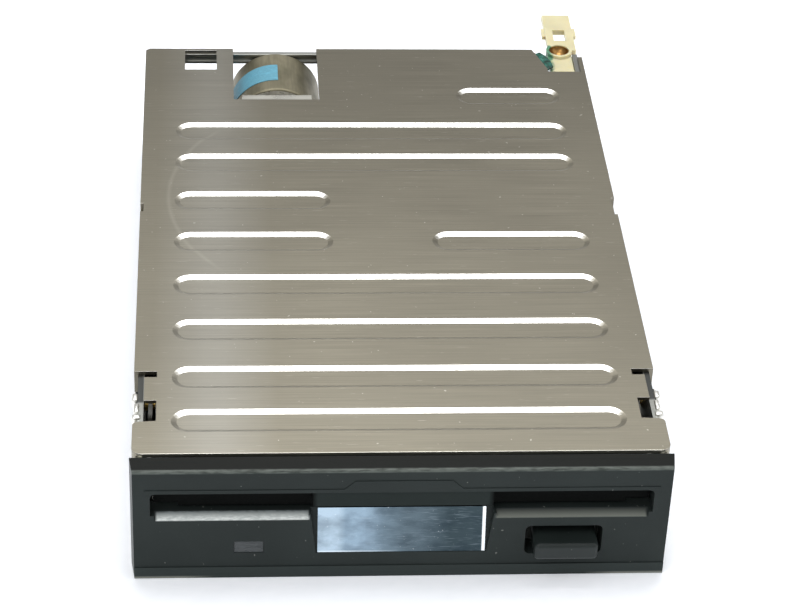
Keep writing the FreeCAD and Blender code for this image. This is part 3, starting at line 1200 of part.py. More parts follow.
def connectors():
    """The 34 way pin header and the four way power inlet at the rear."""
    left = of.header_left
    right = left + of.header_length
    y = (of.header_front, of.header_front + of.header_block)
    case = block("header_case", (left, right), y, (board_top, header_top))
    node(case, "signal_header")
    pins = []
    half = of.header_pin / 2
    first = left + (of.header_length - 16 * of.header_pitch) / 2
    for row in range(2):
        height = (board_top + header_top) / 2 + of.header_pitch * (row - 0.5)
        for column in range(17):
            middle = first + of.header_pitch * column
            pins.append(block(f"pin_{row}_{column}", (middle - half, middle + half),
                              (y[1], of.drive_length), (height - half, height + half)))
    x = (of.power_left, of.power_left + of.power_width)
    z = (board_top, board_top + of.power_height)
    shell = block("power_shell", x, (of.power_front, of.drive_length), z)
    well = block("power_well", (x[0] + 0.9, x[1] - 0.9), (of.power_front + 2, of.drive_length + 1),
                 (z[0] + 0.9, z[1] - 0.9))
    node(cut("power_inlet", shell, [well]), "power_inlet")
    start = (x[0] + x[1]) / 2 - 1.5 * of.power_pitch
    for number in range(4):
        middle = start + of.power_pitch * number
        pins.append(block(f"power_pin_{number}", (middle - 0.4, middle + 0.4),
                          (of.power_front + 2, of.drive_length - 1.4),
                          ((z[0] + z[1]) / 2 - 0.4, (z[0] + z[1]) / 2 + 0.4)))
    node(group("connector_pins", pins), "connector_pins")


def cables():
    """The flat lead from the stepper to the board, and the folded flat cable of the heads."""
    x = (of.stepper_middle - 3.2, of.stepper_middle + 3.2)
    lead = [
        block("lead_down", x, (of.stepper_back, of.stepper_back + 0.6), (board_top, of.stepper_height)),
        block("lead_plug", (x[0] - 0.8, x[1] + 0.8), (of.stepper_back + 0.1, of.board_back),
              (board_top, board_top + 3.4)),
    ]
    node(join("stepper_lead", lead), "stepper_lead")
    back = of.block_back
    flex_x = (-4.0, 4.0)
    flex = [
        block("flex_rise", flex_x, (back, back + 0.3), (deck_top + 2, of.tongue_high + 1.4)),
        block("flex_run", flex_x, (back, of.deck_back + 0.9), (deck_top + 2, deck_top + 2.3)),
        block("flex_drop", flex_x, (of.deck_back + 0.6, of.deck_back + 0.9), (board_top, deck_top + 2.3)),
    ]
    node(join("head_flex", flex), "head_flex")


def nylon_lug():
    """The nylon lug at the rear right corner with its eye, its screw and a dab of locking lacquer."""
    centre = (of.lug_middle, of.lug_place)
    boss = rod("lug_boss", "z", of.lug_radius, of.lug_low, of.lug_top - of.lug_low, centre)
    middle = of.lug_middle + of.lug_offset
    x = (middle - of.lug_half_width, middle + of.lug_half_width)
    z = (of.lug_top - of.lug_gauge, of.lug_top)
    tab = block("lug_tab", x, (of.lug_place, of.lug_back), z)
    nubs = block("lug_nubs", (x[0] - of.lug_nub, x[1] + of.lug_nub),
                 (of.lug_eye_front + 2.4, of.lug_eye_back + 1), (z[0] + 0.2, z[1] - 0.2))
    eye = block("lug_eye", (middle - of.lug_eye_half, middle + of.lug_eye_half),
                (of.lug_eye_front, of.lug_eye_back), (z[0] - 1, z[1] + 1))
    foot = block("lug_foot", (of.lug_middle - of.lug_foot_half, of.lug_middle + of.lug_foot_half),
                 (of.lug_place - of.lug_foot_reach, of.lug_place), (of.lug_low, of.lug_top - of.lug_foot_drop))
    well = rod("lug_well", "z", of.lug_screw_head + 0.15, of.lug_top - 2.4, 3, centre)
    hole = rod("lug_hole", "z", of.lug_screw_radius + 0.05, of.lug_low - 1, 8, centre)
    body = join("lug_solid", [boss, tab, nubs, foot])
    node(cut("nylon_lug", body, [eye, well, hole]), "nylon_lug")
    shank = rod("lug_screw_shank", "z", of.lug_screw_radius, of.lug_low + 0.3,
                of.lug_top - 2.4 - of.lug_low - 0.3, centre)
    head = rod("lug_screw_top", "z", of.lug_screw_head, of.lug_top - 2.4, 2.2, centre)
    bowl = doc.addObject("Part::Sphere", "lug_screw_bowl")
    bind(bowl, "Radius", of.lug_screw_head)
    stand_at(bowl, of.lug_middle, of.lug_place, of.lug_top + 0.3)
    slit = block("lug_screw_slit", (of.lug_middle - 1.2, of.lug_middle + 1.2),
                 (of.lug_place - 0.3, of.lug_place + 0.3), (of.lug_top - 2.2, of.lug_top))
    node(cut("lug_screw", join("lug_screw_solid", [shank, head]), [bowl, slit]), "lug_screw")
    edge = (of.corner_left, of.corner_front + 1.4)
    outline = [edge, (edge[0] + 1.6, edge[1] + 1.2), (edge[0] + 1.3, edge[1] + 3.8), (edge[0] + 0.3, edge[1] + 6.2),
               (edge[0] - 1.1, edge[1] + 8), (edge[0] - 2.24, edge[1] + 6.96)]
    node(prism("lock_lacquer", "XY", outline, cover_under, of.cover_gauge - 0.1), "lock_lacquer")


def small_screws():
    """The screws of the stepper bracket and of the bearing's flange."""
    places = [(-3.2, of.spindle_place - 6.2), (3.2, of.spindle_place + 6.2)]
    heads = []
    for number, side in enumerate((-1, 1)):
        centre = (of.stepper_middle + side * 5.4, of.stepper_height + 6.4)
        heads.append(rod(f"bracket_screw_{number}", "y", 1.5, of.bracket_front - 1.1, 1.1, centre))
    for number, place in enumerate(places):
        heads.append(rod(f"bearing_screw_{number}", "z", 1.1, deck_top + 0.6, 0.7, place))
    node(group("motor_screws", heads), "motor_screws")


def build():
    """Makes every sub-part."""
    front_bezel()
    finger_plate()
    door_flap()
    activity_light()
    eject_button()
    chassis()
    top_cover()
    rear_crossbar()
    disk_carrier()
    shutter_lever()
    slide_plate()
    eject_springs()
    spindle()
    motor_board()
    switches()
    guide_rods()
    head_carriage()
    upper_arm()
    stepper()
    track_sensor()
    main_board()
    connectors()
    cables()
    nylon_lug()
    small_screws()


def check_and_write():
    """Stops on a failed object, then writes one file for each sub-part."""
    failed = [item.Name for item in doc.Objects if "Invalid" in item.State or "Error" in item.State]
    for item in nodes:
        if item.Shape.isNull() or not item.Shape.isValid():
            failed.append(item.Label)
    if failed:
        raise RuntimeError("failed objects: " + ", ".join(failed))
    os.makedirs("parts", exist_ok=True)
    for item in nodes:
        item.Shape.exportStep(f"parts/{item.Label}.step")
    print(f"{len(nodes)} sub-parts written")


build()
doc.recompute()
check_and_write()
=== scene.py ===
"""Looks of a bare 3.5 inch floppy disk drive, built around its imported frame."""

import json
import math

import bpy
from mathutils import Matrix, Vector

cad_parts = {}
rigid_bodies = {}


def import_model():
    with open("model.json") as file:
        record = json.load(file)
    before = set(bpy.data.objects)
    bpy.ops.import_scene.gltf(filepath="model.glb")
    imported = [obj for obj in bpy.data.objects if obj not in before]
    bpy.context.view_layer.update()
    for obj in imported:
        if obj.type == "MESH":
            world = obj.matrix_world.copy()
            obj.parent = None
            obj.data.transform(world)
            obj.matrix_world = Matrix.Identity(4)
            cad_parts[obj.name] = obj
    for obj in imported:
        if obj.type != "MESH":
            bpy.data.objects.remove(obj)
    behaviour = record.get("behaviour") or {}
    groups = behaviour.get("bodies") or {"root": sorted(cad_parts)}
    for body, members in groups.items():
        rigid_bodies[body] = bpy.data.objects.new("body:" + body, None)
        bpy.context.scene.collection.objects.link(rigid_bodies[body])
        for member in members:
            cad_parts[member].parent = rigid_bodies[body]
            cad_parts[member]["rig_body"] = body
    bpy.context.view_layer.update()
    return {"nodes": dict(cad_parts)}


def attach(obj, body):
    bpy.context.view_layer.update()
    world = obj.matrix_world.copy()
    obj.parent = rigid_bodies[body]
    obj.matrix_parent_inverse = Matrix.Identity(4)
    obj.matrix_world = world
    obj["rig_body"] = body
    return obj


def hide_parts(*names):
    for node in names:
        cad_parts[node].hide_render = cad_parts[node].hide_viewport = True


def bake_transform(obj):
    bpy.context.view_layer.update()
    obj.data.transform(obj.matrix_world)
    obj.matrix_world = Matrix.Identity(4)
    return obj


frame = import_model()

bl_info = {
    "name": "Floppy Drive Looks",
    "version": (1, 0, 0),
    "blender": (4, 5, 0),
    "location": "View3D > Sidebar > Drive",
    "description": "Finishes and small pieces of a bare floppy disk drive",
    "category": "Object",
}

MM = 0.001
X, Y, Z = 0, 1, 2  # X runs across the drive, Y rearwards and Z up
AHEAD = -86  # a place along Y, in mm, just in front of the bezel's face
BELOW = -1  # a place along Z, in mm, just under the drive
FACTOR, FIRST_COLOUR, SECOND_COLOUR, MIXED_COLOUR = 0, 6, 7, 2  # sockets of a node that mixes colours
MERGE_DISTANCE = 0.003 * MM  # corners closer than this are one corner
FLAT_ANGLE = math.radians(0.6)  # faces that meet at less than this are one flat
SMOOTH_ANGLE = math.radians(40)  # edges sharper than this stay sharp


def linear(code, alpha=1.0):
    """A linear colour from an sRGB hex code."""
    parts = [int(code[start:start + 2], 16) / 255 for start in (0, 2, 4)]
    return (*[p / 12.92 if p <= 0.04045 else ((p + 0.055) / 1.055) ** 2.4 for p in parts], alpha)


def colour_property(name, description, code):
    """A colour that the panel shows, with its default as a hex code."""
    return bpy.props.FloatVectorProperty(name=name, description=description, default=linear(code),
                                         size=4, min=0, max=1, subtype="COLOR")


def length_property(name, description, millimetres):
    """A length that the panel shows."""
    return bpy.props.FloatProperty(name=name, description=description, default=millimetres * MM,
                                   min=0, subtype="DISTANCE", unit="LENGTH", precision=5)


class DriveFinish(bpy.types.PropertyGroup):
    """Colours of the surfaces that show most."""
    cover: colour_property("Cover steel", "Colour of the brushed steel cover", "8f8a7c")
    bezel: colour_property("Bezel plastic", "Colour of the moulded front bezel", "292f2e")
    button: colour_property("Button plastic", "Colour of the eject button", "212726")
    lug: colour_property("Lug nylon", "Colour of the rear lug", "cdc5a0")
    label: colour_property("Motor label", "Colour of the bare paper on the motor can", "5993a7")
    board: colour_property("Board", "Colour of the circuit board's lacquer", "2c5a35")


class DriveSizes(bpy.types.PropertyGroup):
    """Sizes of the small finishing details."""
    sheet_edge: length_property("Sheet edge", "Rounding of the sheet metal's edges", 0.12)
    bezel_edge: length_property("Bezel edge", "Rounding of the bezel's edges", 0.22)
    lug_edge: length_property("Lug edge", "Rounding of the lug's edges", 0.35)
    chip_edge: length_property("Chip edge", "Rounding of the chips' edges", 0.12)
    connector_edge: length_property("Connector edge", "Rounding of the connectors' edges", 0.15)
    brush_width: length_property("Brush line width", "Width of a brush line on the cover", 0.22)
    brush_length: length_property("Brush line length", "Length of a brush line on the cover", 24)
    plastic_grain: length_property("Plastic grain", "Grain of the moulded plastic", 0.45)


def finish():
    """The colours that the panel shows."""
    return bpy.context.scene.drive_finish


def sizes():
    """The sizes that the panel shows."""
    return bpy.context.scene.drive_sizes


def reach(name):
    """The lowest and the highest corner of a node of the frame."""
    points = [Vector(corner) for corner in frame["nodes"][name].bound_box]
    return (Vector(map(min, zip(*points))), Vector(map(max, zip(*points))))


# Building a material.
def node(tree, kind, settings=(), links=()):
    """Adds one shader node with its settings. A link's source is a socket or a plain value."""
    item = tree.nodes.new(kind)
    for name, value in dict(settings).items():
        setattr(item, name, value)
    for socket, source in dict(links).items():
        if isinstance(source, bpy.types.NodeSocket):
            tree.links.new(source, item.inputs[socket])
        else:
            item.inputs[socket].default_value = source
    return item


def begin(name, **constants):
    """A new material with its shader. Constants are set on the shader's own sockets."""
    material = bpy.data.materials.new(name)
    material.use_nodes = True
    tree = material.node_tree
    tree.nodes.clear()
    shader = node(tree, "ShaderNodeBsdfPrincipled")
    node(tree, "ShaderNodeOutputMaterial", (), {"Surface": shader.outputs[0]})
    place = node(tree, "ShaderNodeTexCoord").outputs["Object"]
    for socket, value in constants.items():
        shader.inputs[socket.replace("_", " ")].default_value = value
    return material, tree, shader, place


def shade(colour, amount):
    """The colour made lighter or darker by a factor."""
    return (*[min(1.0, part * amount) for part in colour[:3]], 1.0)


def grain(tree, place, millimetres, detail=2.0, turn=(0, 0, 0)):
    """A cloudy pattern whose features have the given sizes in mm along X, Y and Z."""
    if isinstance(millimetres, (int, float)):
        millimetres = (millimetres,) * 3
    mapped = node(tree, "ShaderNodeMapping", (),
                  {"Vector": place, "Rotation": turn, "Scale": [1 / (size * MM) for size in millimetres]})
    return node(tree, "ShaderNodeTexNoise", (),
                {"Vector": mapped.outputs[0], "Scale": 1.0, "Detail": detail}).outputs["Fac"]


def tint(tree, pattern, low, high, first, second, most=1.0):
    """Colours a pattern: the first colour below the low value, a share of the second above the high one."""
    share = node(tree, "ShaderNodeMapRange", (),
                 {"Value": pattern, "From Min": low, "From Max": high, "To Max": most})
    mix = node(tree, "ShaderNodeMix", {"data_type": "RGBA"},
               {FACTOR: share.outputs[0], FIRST_COLOUR: first, SECOND_COLOUR: second})
    return mix.outputs[MIXED_COLOUR]


def lay(tree, tone, mask, colour, most=1.0):
    """Lays a colour over the tone where a mask is 1."""
    return tint(tree, mask, 0.0, 1.0, tone, colour, most)


def span(tree, place, axis, between, soft, both_sides=False):
    """A mask that is 1 between two places in mm along an axis, with soft ends, or so on both sides of 0."""
    low, high = between
    value = node(tree, "ShaderNodeSeparateXYZ", (), {0: place}).outputs[axis]
    if both_sides:
        value = node(tree, "ShaderNodeMath", {"operation": "ABSOLUTE"}, {0: value}).outputs[0]
    rise = node(tree, "ShaderNodeMapRange", (),
                {"Value": value, "From Min": (low - soft) * MM, "From Max": (low + soft) * MM})
    fall = node(tree, "ShaderNodeMapRange", (),
                {"Value": value, "From Min": (high - soft) * MM, "From Max": (high + soft) * MM,
                 "To Min": 1.0, "To Max": 0.0})
    return overlap(tree, rise.outputs[0], fall.outputs[0])


def overlap(tree, *masks):
    """A mask of where all the given masks hold."""
    result = masks[0]
    for mask in masks[1:]:
        result = node(tree, "ShaderNodeMath", {"operation": "MULTIPLY"}, {0: result, 1: mask}).outputs[0]
    return result


def finish_with(tree, shader, tone, gloss, rough, height, depth):
    """Links the colour, a roughness that follows the gloss pattern, and a relief of that depth in mm."""
    level = node(tree, "ShaderNodeMapRange", (),
                 {"Value": gloss, "From Min": 0.3, "From Max": 0.7, "To Min": rough[0], "To Max": rough[1]})
    relief = node(tree, "ShaderNodeBump", (), {"Height": height, "Distance": depth * MM, "Strength": 1.0})
    tree.links.new(tone, shader.inputs["Base Color"])
    tree.links.new(level.outputs[0], shader.inputs["Roughness"])
    tree.links.new(relief.outputs[0], shader.inputs["Normal"])


# Materials. Sizes and places in them are in mm.
def cover_steel():
    """Cold rolled steel sheet, brushed across the drive: warm grey with fine lines and small scratches."""
    material, tree, shader, place = begin("cold_rolled_steel_brushed", Metallic=1.0)
    base = tuple(finish().cover)
    wide = sizes().brush_width / MM
    long = sizes().brush_length / MM
    lines = grain(tree, place, (long, wide, long), detail=5.0)
    clouds = grain(tree, place, (60, 45, 40), detail=4.0)
    tone = tint(tree, lines, 0.32, 0.68, shade(base, 0.87), shade(base, 1.13))
    tone = tint(tree, clouds, 0.4, 0.65, tone, shade(base, 0.72), most=0.45)
    # Small scratches, rubbed marks from handling, and pits.
    scratches = grain(tree, place, (5, 0.16, 5), detail=1.0, turn=(0, 0, math.radians(63)))
    tone = tint(tree, scratches, 0.74, 0.79, tone, linear("e9e5da"), most=0.3)
    scuffs = grain(tree, place, (3.2, 0.5, 3), detail=3.0, turn=(0, 0, math.radians(-8)))
    tone = tint(tree, scuffs, 0.72, 0.78, tone, linear("dedacf"), most=0.25)
    pits = grain(tree, place, 0.9, detail=1.0)
    tone = tint(tree, pits, 0.78, 0.81, tone, linear("f0ece0"), most=0.4)
    # A painted highlight in a band along the left, where the lamp's reflection stretches along the grain, and
    # a painted highlight along the front edge.
    left_highlight_band = span(tree, place, X, (-40, -30), soft=7)
    tone = lay(tree, tone, left_highlight_band, linear("bebebb"), most=0.38)
    front_edge_highlight = span(tree, place, Y, (-80, -79.35), soft=0.1)
    tone = lay(tree, tone, front_edge_highlight, linear("fffbea"), most=0.95)
    tone = lay(tree, tone, curved_stain(tree, place), linear("cdc8bb"), most=0.16)
    # Painted highlight on the grooves' rear walls, which face the lamps above and in front. Normals here are
    # in thousandths.
    normal = node(tree, "ShaderNodeNewGeometry").outputs["True Normal"]
    facing_front = span(tree, normal, Y, (-900, -240), soft=60)
    facing_up = span(tree, normal, Z, (700, 2000), soft=100)
    tone = lay(tree, tone, overlap(tree, facing_front, facing_up), linear("fbfaf6"))
    finish_with(tree, shader, tone, lines, (0.31, 0.38), lines, 0.006)
    return material


def curved_stain(tree, place):
    """A mask of the faint thin arc at the cover's left."""
    centre = (-5.0 * MM, 8.0 * MM, 25.6 * MM)
    radius = 39.5
    thickness = 0.7
    away = node(tree, "ShaderNodeVectorMath", {"operation": "DISTANCE"}, {0: place, 1: centre})
    off = node(tree, "ShaderNodeMath", {"operation": "SUBTRACT"},
               {0: away.outputs["Value"], 1: radius * MM}).outputs[0]
    ring = node(tree, "ShaderNodeMath", {"operation": "ABSOLUTE"}, {0: off}).outputs[0]
    thin = node(tree, "ShaderNodeMapRange", (),
                {"Value": ring, "From Max": thickness * MM, "To Min": 1.0, "To Max": 0.0}).outputs[0]
    return overlap(tree, thin, span(tree, place, X, (-46, -34.5), soft=1.5))


def sheet_metal(name, code, rough=0.35, lay_lines=(14, 0.3, 0.3), relief=0.006):
    """A plated or bare metal: faint lines from rolling or turning, and cloudy patches."""
    material, tree, shader, place = begin(name, Metallic=1.0)
    base = linear(code)
    lines = grain(tree, place, lay_lines, detail=3.0)
    clouds = grain(tree, place, 9, detail=4.0)
    tone = tint(tree, lines, 0.3, 0.7, shade(base, 0.84), shade(base, 1.12))
    tone = tint(tree, clouds, 0.45, 0.7, tone, shade(base, 0.68), most=0.4)
    finish_with(tree, shader, tone, clouds, (rough - 0.08, rough + 0.1), lines, relief)
    return material


def moulded(name, base, rough=0.45, size=0.45, relief=0.02, dust=0.0, gloss=0.5):
    """A moulded plastic: fine grain, slightly uneven gloss and a little dust."""
    material, tree, shader, place = begin(name, IOR=1.53, Specular_IOR_Level=gloss)
    skin = grain(tree, place, size, detail=3.0)
    clouds = grain(tree, place, 14, detail=3.0)
    specks = grain(tree, place, 0.7, detail=1.0)
    tone = tint(tree, clouds, 0.35, 0.65, shade(base, 0.86), shade(base, 1.16))
    tone = tint(tree, specks, 0.74, 0.8, tone, linear("b9bab4"), most=dust)
    finish_with(tree, shader, tone, clouds, (rough - 0.06, rough + 0.08), skin, relief)
    return material


def bezel_plastic():
    """Moulded ABS, black and finely grained, with a painted highlight on the slot's sill, where disks slide.
    """
    material, tree, shader, place = begin("abs_moulded_black", IOR=1.53, Specular_IOR_Level=0.12)
    base = tuple(finish().bezel)
    skin = grain(tree, place, sizes().plastic_grain / MM, detail=3.0)
    clouds = grain(tree, place, 22, detail=3.0)
    specks = grain(tree, place, 0.8, detail=1.0)
    tone = tint(tree, clouds, 0.35, 0.65, shade(base, 0.88), shade(base, 1.12))
    tone = tint(tree, specks, 0.76, 0.8, tone, linear("a9aaa4"), most=0.3)
    # Lighter at the foot of the face and at its lower corners. Darker on top, by painted shade, and a painted
    # highlight along the front of its rim.
    foot = span(tree, place, Z, (BELOW, 2.55), soft=0.06)
    tone = lay(tree, tone, foot, shade(base, 1.4))
    outer_ends = span(tree, place, X, (38, 60), soft=3, both_sides=True)
    lower_corners = overlap(tree, outer_ends, span(tree, place, Z, (BELOW, 0.45), soft=0.15))
    tone = lay(tree, tone, lower_corners, linear("8a8c84"), most=0.8)
    # Painted shade: the top surface is darker.
    top = span(tree, place, Z, (25.25, 27), soft=0.05)
    tone = lay(tree, tone, top, linear("0b0e0b"))
    # Painted highlight along the top front rim, where light catches the edge.
    rim_front = span(tree, place, Y, (AHEAD, -83.95), soft=0.2)
    rim = overlap(tree, rim_front, span(tree, place, Z, (24.95, 26), soft=0.12))
    rim_highlight_grain = grain(tree, place, (2.2, 0.5, 0.5), detail=4.0)
    rim_highlight = tint(tree, rim_highlight_grain, 0.3, 0.6, linear("3f4440"), linear("6b716c"))
    tone = lay(tree, tone, rim, rim_highlight, most=0.75)
    # Painted highlight on the slot's sill.
    tone = painted_sill_highlight(tree, place, tone)
    finish_with(tree, shader, tone, clouds, (0.36, 0.44), skin, 0.015)
    return material


def painted_sill_highlight(tree, place, tone):
    """The tone with a painted highlight on the slot's sill, brighter towards its lower edge and much brighter
    at the left.
    """
    height = node(tree, "ShaderNodeSeparateXYZ", (), {0: place}).outputs[Z]
    beside_plate = span(tree, place, X, (17.5, 45.9), soft=0.2, both_sides=True)
    sill_height = span(tree, place, Z, (13.85, 15.2), soft=0.1)
    front_skin = span(tree, place, Y, (AHEAD, -83.2), soft=0.1)
    sill = overlap(tree, beside_plate, sill_height, front_skin)
    fine = grain(tree, place, (1.1, 0.35, 0.35), detail=3.0)
    left_sill_highlight = tint(tree, height, 14.1 * MM, 14.95 * MM, linear("e8edea"), linear("454c4e"))
    left_sill_highlight = tint(tree, fine, 0.35, 0.65, left_sill_highlight, linear("8f9798"), most=0.5)
    left = overlap(tree, sill, span(tree, place, X, (-60, 0), soft=3))
    tone = lay(tree, tone, left, left_sill_highlight)
    right_sill_highlight = tint(tree, height, 14.05 * MM, 14.95 * MM, linear("72766f"), linear("2a2e2d"))
    right = overlap(tree, sill, span(tree, place, X, (0, 60), soft=3))
    return lay(tree, tone, right, right_sill_highlight)


def flap_plastic():
    """Moulded ABS like the bezel's where the flap's tongue fills the slot, and painted shade beside it: dead
    black, as under the slot's overhang.
    """
    material, tree, shader, place = begin("abs_moulded_flap", IOR=1.53, Specular_IOR_Level=0.05)
    base = tuple(finish().bezel)
    clouds = grain(tree, place, 22, detail=3.0)
    skin = grain(tree, place, sizes().plastic_grain / MM, detail=3.0)
    tone = tint(tree, clouds, 0.35, 0.65, shade(base, 0.9), shade(base, 1.1))
    middle = span(tree, place, X, (-1, 16.4), soft=0.5, both_sides=True)
    tongue = overlap(tree, middle, span(tree, place, Y, (AHEAD, -83.5), soft=0.1))
    # Painted shade: dead black beside the tongue, where the slot's overhang keeps light off the flap.
    tone = lay(tree, linear("090b0a"), tongue, tone)
    finish_with(tree, shader, tone, clouds, (0.6, 0.7), skin, 0.015)
    return material


def plate_steel():
    """Polished stainless steel with finger wear: near mirror, specked and scratched, with a painted
    reflection that is brighter at its left.
    """
    material, tree, shader, place = begin("stainless_steel_polished", Metallic=1.0)
    across = node(tree, "ShaderNodeSeparateXYZ", (), {0: place}).outputs[X]
    tone = linear("abbecc")
    # Painted reflection, bright at the left: the plate gets darker towards the right in steps, each between
    # two places in X.
    steps = ((-12, -10.5, "8ca1b1"), (-7, -3.4, "697a85"), (-3.4, 1, "58666e"), (3, 9, "39454a"))
    for start, end, code in steps:
        tone = tint(tree, across, start * MM, end * MM, tone, linear(code))
    clouds = grain(tree, place, (5, 4, 3), detail=5.0, turn=(0, math.radians(30), 0))
    tone = tint(tree, clouds, 0.42, 0.66, tone, linear("25313a"), most=0.4)
    wear = grain(tree, place, (2.4, 0.4, 0.28), detail=4.0, turn=(0, math.radians(55), 0))
    tone = tint(tree, wear, 0.54, 0.76, tone, linear("c4d4e0"), most=0.13)
    specks = grain(tree, place, (0.42, 0.25, 0.25), detail=1.0, turn=(0, math.radians(-28), 0))
    tone = tint(tree, specks, 0.77, 0.81, tone, linear("f6fafc"), most=0.6)
    # Painted highlights along the right edge and along the lower lip at the left.
    right_edge_highlight = span(tree, place, X, (15.2, 20), soft=0.08)
    tone = lay(tree, tone, right_edge_highlight, linear("f0f5f8"), most=0.95)
    lip = span(tree, place, Z, (0, 6.0), soft=0.08)
    left_lip_highlight = overlap(tree, lip, span(tree, place, X, (-20, -6), soft=6))
    tone = lay(tree, tone, left_lip_highlight, linear("dfe9f0"), most=0.7)
    finish_with(tree, shader, tone, clouds, (0.12, 0.24), wear, 0.01)
    return material


def lens_plastic():
    """Smoked acrylic: dark and clear, with a soft gloss."""
    material, tree, shader, place = begin("acrylic_smoked", IOR=1.49, Transmission_Weight=0.12)
    ribs = grain(tree, place, (4, 4, 0.9))
    tone = tint(tree, ribs, 0.3, 0.7, linear("2e3335"), linear("44494a"))
    finish_with(tree, shader, tone, ribs, (0.2, 0.34), ribs, 0.01)
    return material


def lug_nylon():
    """Natural nylon 6: creamy, slightly see-through, stained green where lacquer ran beside the screw."""
    material, tree, shader, place = begin("nylon_natural", IOR=1.53, Subsurface_Weight=0.5,
                                          Subsurface_Radius=(1.0, 0.8, 0.45), Subsurface_Scale=0.0015)
    base = tuple(finish().lug)
    clouds = grain(tree, place, 5, detail=3.0)
    skin = grain(tree, place, 0.6)
    runs = grain(tree, place, 2.2, detail=3.0)
    tone = tint(tree, clouds, 0.35, 0.65, shade(base, 0.93), shade(base, 1.03))
    left_of_screw = span(tree, place, X, (41, 43.9), soft=0.7)
    stain = overlap(tree, left_of_screw, span(tree, place, Y, (61, 73.2), soft=0.8), runs)
    tone = tint(tree, stain, 0.2, 0.42, tone, linear("2f7a5e"), most=0.9)
    finish_with(tree, shader, tone, clouds, (0.28, 0.4), skin, 0.01)
    return material


def lock_lacquer():
    """Screw locking lacquer: green paint, thick and glossy."""
    material, tree, shader, place = begin("screw_lacquer_green", IOR=1.5)
    clouds = grain(tree, place, 1.6, detail=3.0)
    tone = tint(tree, clouds, 0.35, 0.65, linear("0a2f26"), linear("24685a"))
    finish_with(tree, shader, tone, clouds, (0.14, 0.3), clouds, 0.2)
    return material


def motor_label():
    """Uncoated blue paper, left bare: flat colour with fibres and scuffs."""
    material, tree, shader, place = begin("paper_label_blue", IOR=1.45)
    base = tuple(finish().label)
    fibres = grain(tree, place, (0.5, 0.2, 0.5), detail=4.0)
    scuffs = grain(tree, place, (2.4, 1.2, 2.4), detail=4.0)
    tone = tint(tree, fibres, 0.3, 0.7, shade(base, 0.84), shade(base, 1.1))
    tone = tint(tree, scuffs, 0.56, 0.72, tone, shade(base, 1.5), most=0.4)
    finish_with(tree, shader, tone, scuffs, (0.5, 0.65), fibres, 0.01)
    return material


def can_nickel():
    """Dull nickel plating, a little olive: drawn lines round the can, brown patches, a bright end plate."""
    material, tree, shader, place = begin("nickel_plating_dull", Metallic=0.75)
    base = linear("847e69")
    lines = grain(tree, place, (0.6, 9, 0.6), detail=3.0)
    clouds = grain(tree, place, (4, 8, 4), detail=4.0)
    tone = tint(tree, lines, 0.3, 0.7, shade(base, 0.85), shade(base, 1.12))
    tone = tint(tree, clouds, 0.4, 0.7, tone, linear("5a5746"), most=0.7)
    marks = grain(tree, place, (2.6, 2, 0.8), detail=3.0)
    bright = tint(tree, marks, 0.5, 0.6, linear("f4f1e6"), linear("80796a"))
    tone = lay(tree, tone, end_plate(tree, place), bright)
    finish_with(tree, shader, tone, clouds, (0.45, 0.6), lines, 0.01)
    return material


def end_plate(tree, place):
    """A mask of the can's front end, inside a circle round its axis."""
    radius = 9.7
    thickness = 0.7
    low, high = reach("stepper_can")
    axis = (low + high) / 2
    front = low.y / MM
    flat = node(tree, "ShaderNodeVectorMath", {"operation": "MULTIPLY"}, {0: place, 1: (1, 0, 1)})
    away = node(tree, "ShaderNodeVectorMath", {"operation": "DISTANCE"},
                {0: flat.outputs[0], 1: (axis.x, 0, axis.z)})
    inside = node(tree, "ShaderNodeMath", {"operation": "LESS_THAN"},
                  {0: away.outputs["Value"], 1: radius * MM})
    end = span(tree, place, Y, (front - 1, front + thickness), soft=0.05)
    return overlap(tree, inside.outputs[0], end)


def chassis_zinc():
    """Zinc plated sheet like the other frame parts, with painted shade darkening the side walls inside the
    cover's side notches.
    """
    material, tree, shader, place = begin("zinc_plated_chassis", Metallic=1.0)
    base = linear("9b9c97")
    lines = grain(tree, place, (0.3, 16, 16), detail=3.0)
    clouds = grain(tree, place, 11, detail=4.0)
    tone = tint(tree, lines, 0.3, 0.7, shade(base, 0.85), shade(base, 1.12))
    tone = tint(tree, clouds, 0.42, 0.68, tone, shade(base, 0.66), most=0.5)
    # Painted shade: near black on the side walls inside the cover's notches.
    walls = span(tree, place, X, (48.5, 50.05), soft=0.05, both_sides=True)
    notches = span(tree, place, Y, (-62.8, -53.5), soft=0.3)
    notch_shade = overlap(tree, walls, notches, span(tree, place, Z, (16, 26), soft=2))
    tone = lay(tree, tone, notch_shade, linear("16191c"))
    outside = span(tree, place, X, (50.1, 52), soft=0.05, both_sides=True)
    bumps = overlap(tree, outside, span(tree, place, Z, (21, 25), soft=0.5))
    tone = lay(tree, tone, bumps, linear("f1f0ea"))
    finish_with(tree, shader, tone, clouds, (0.3, 0.45), lines, 0.006)
    return material


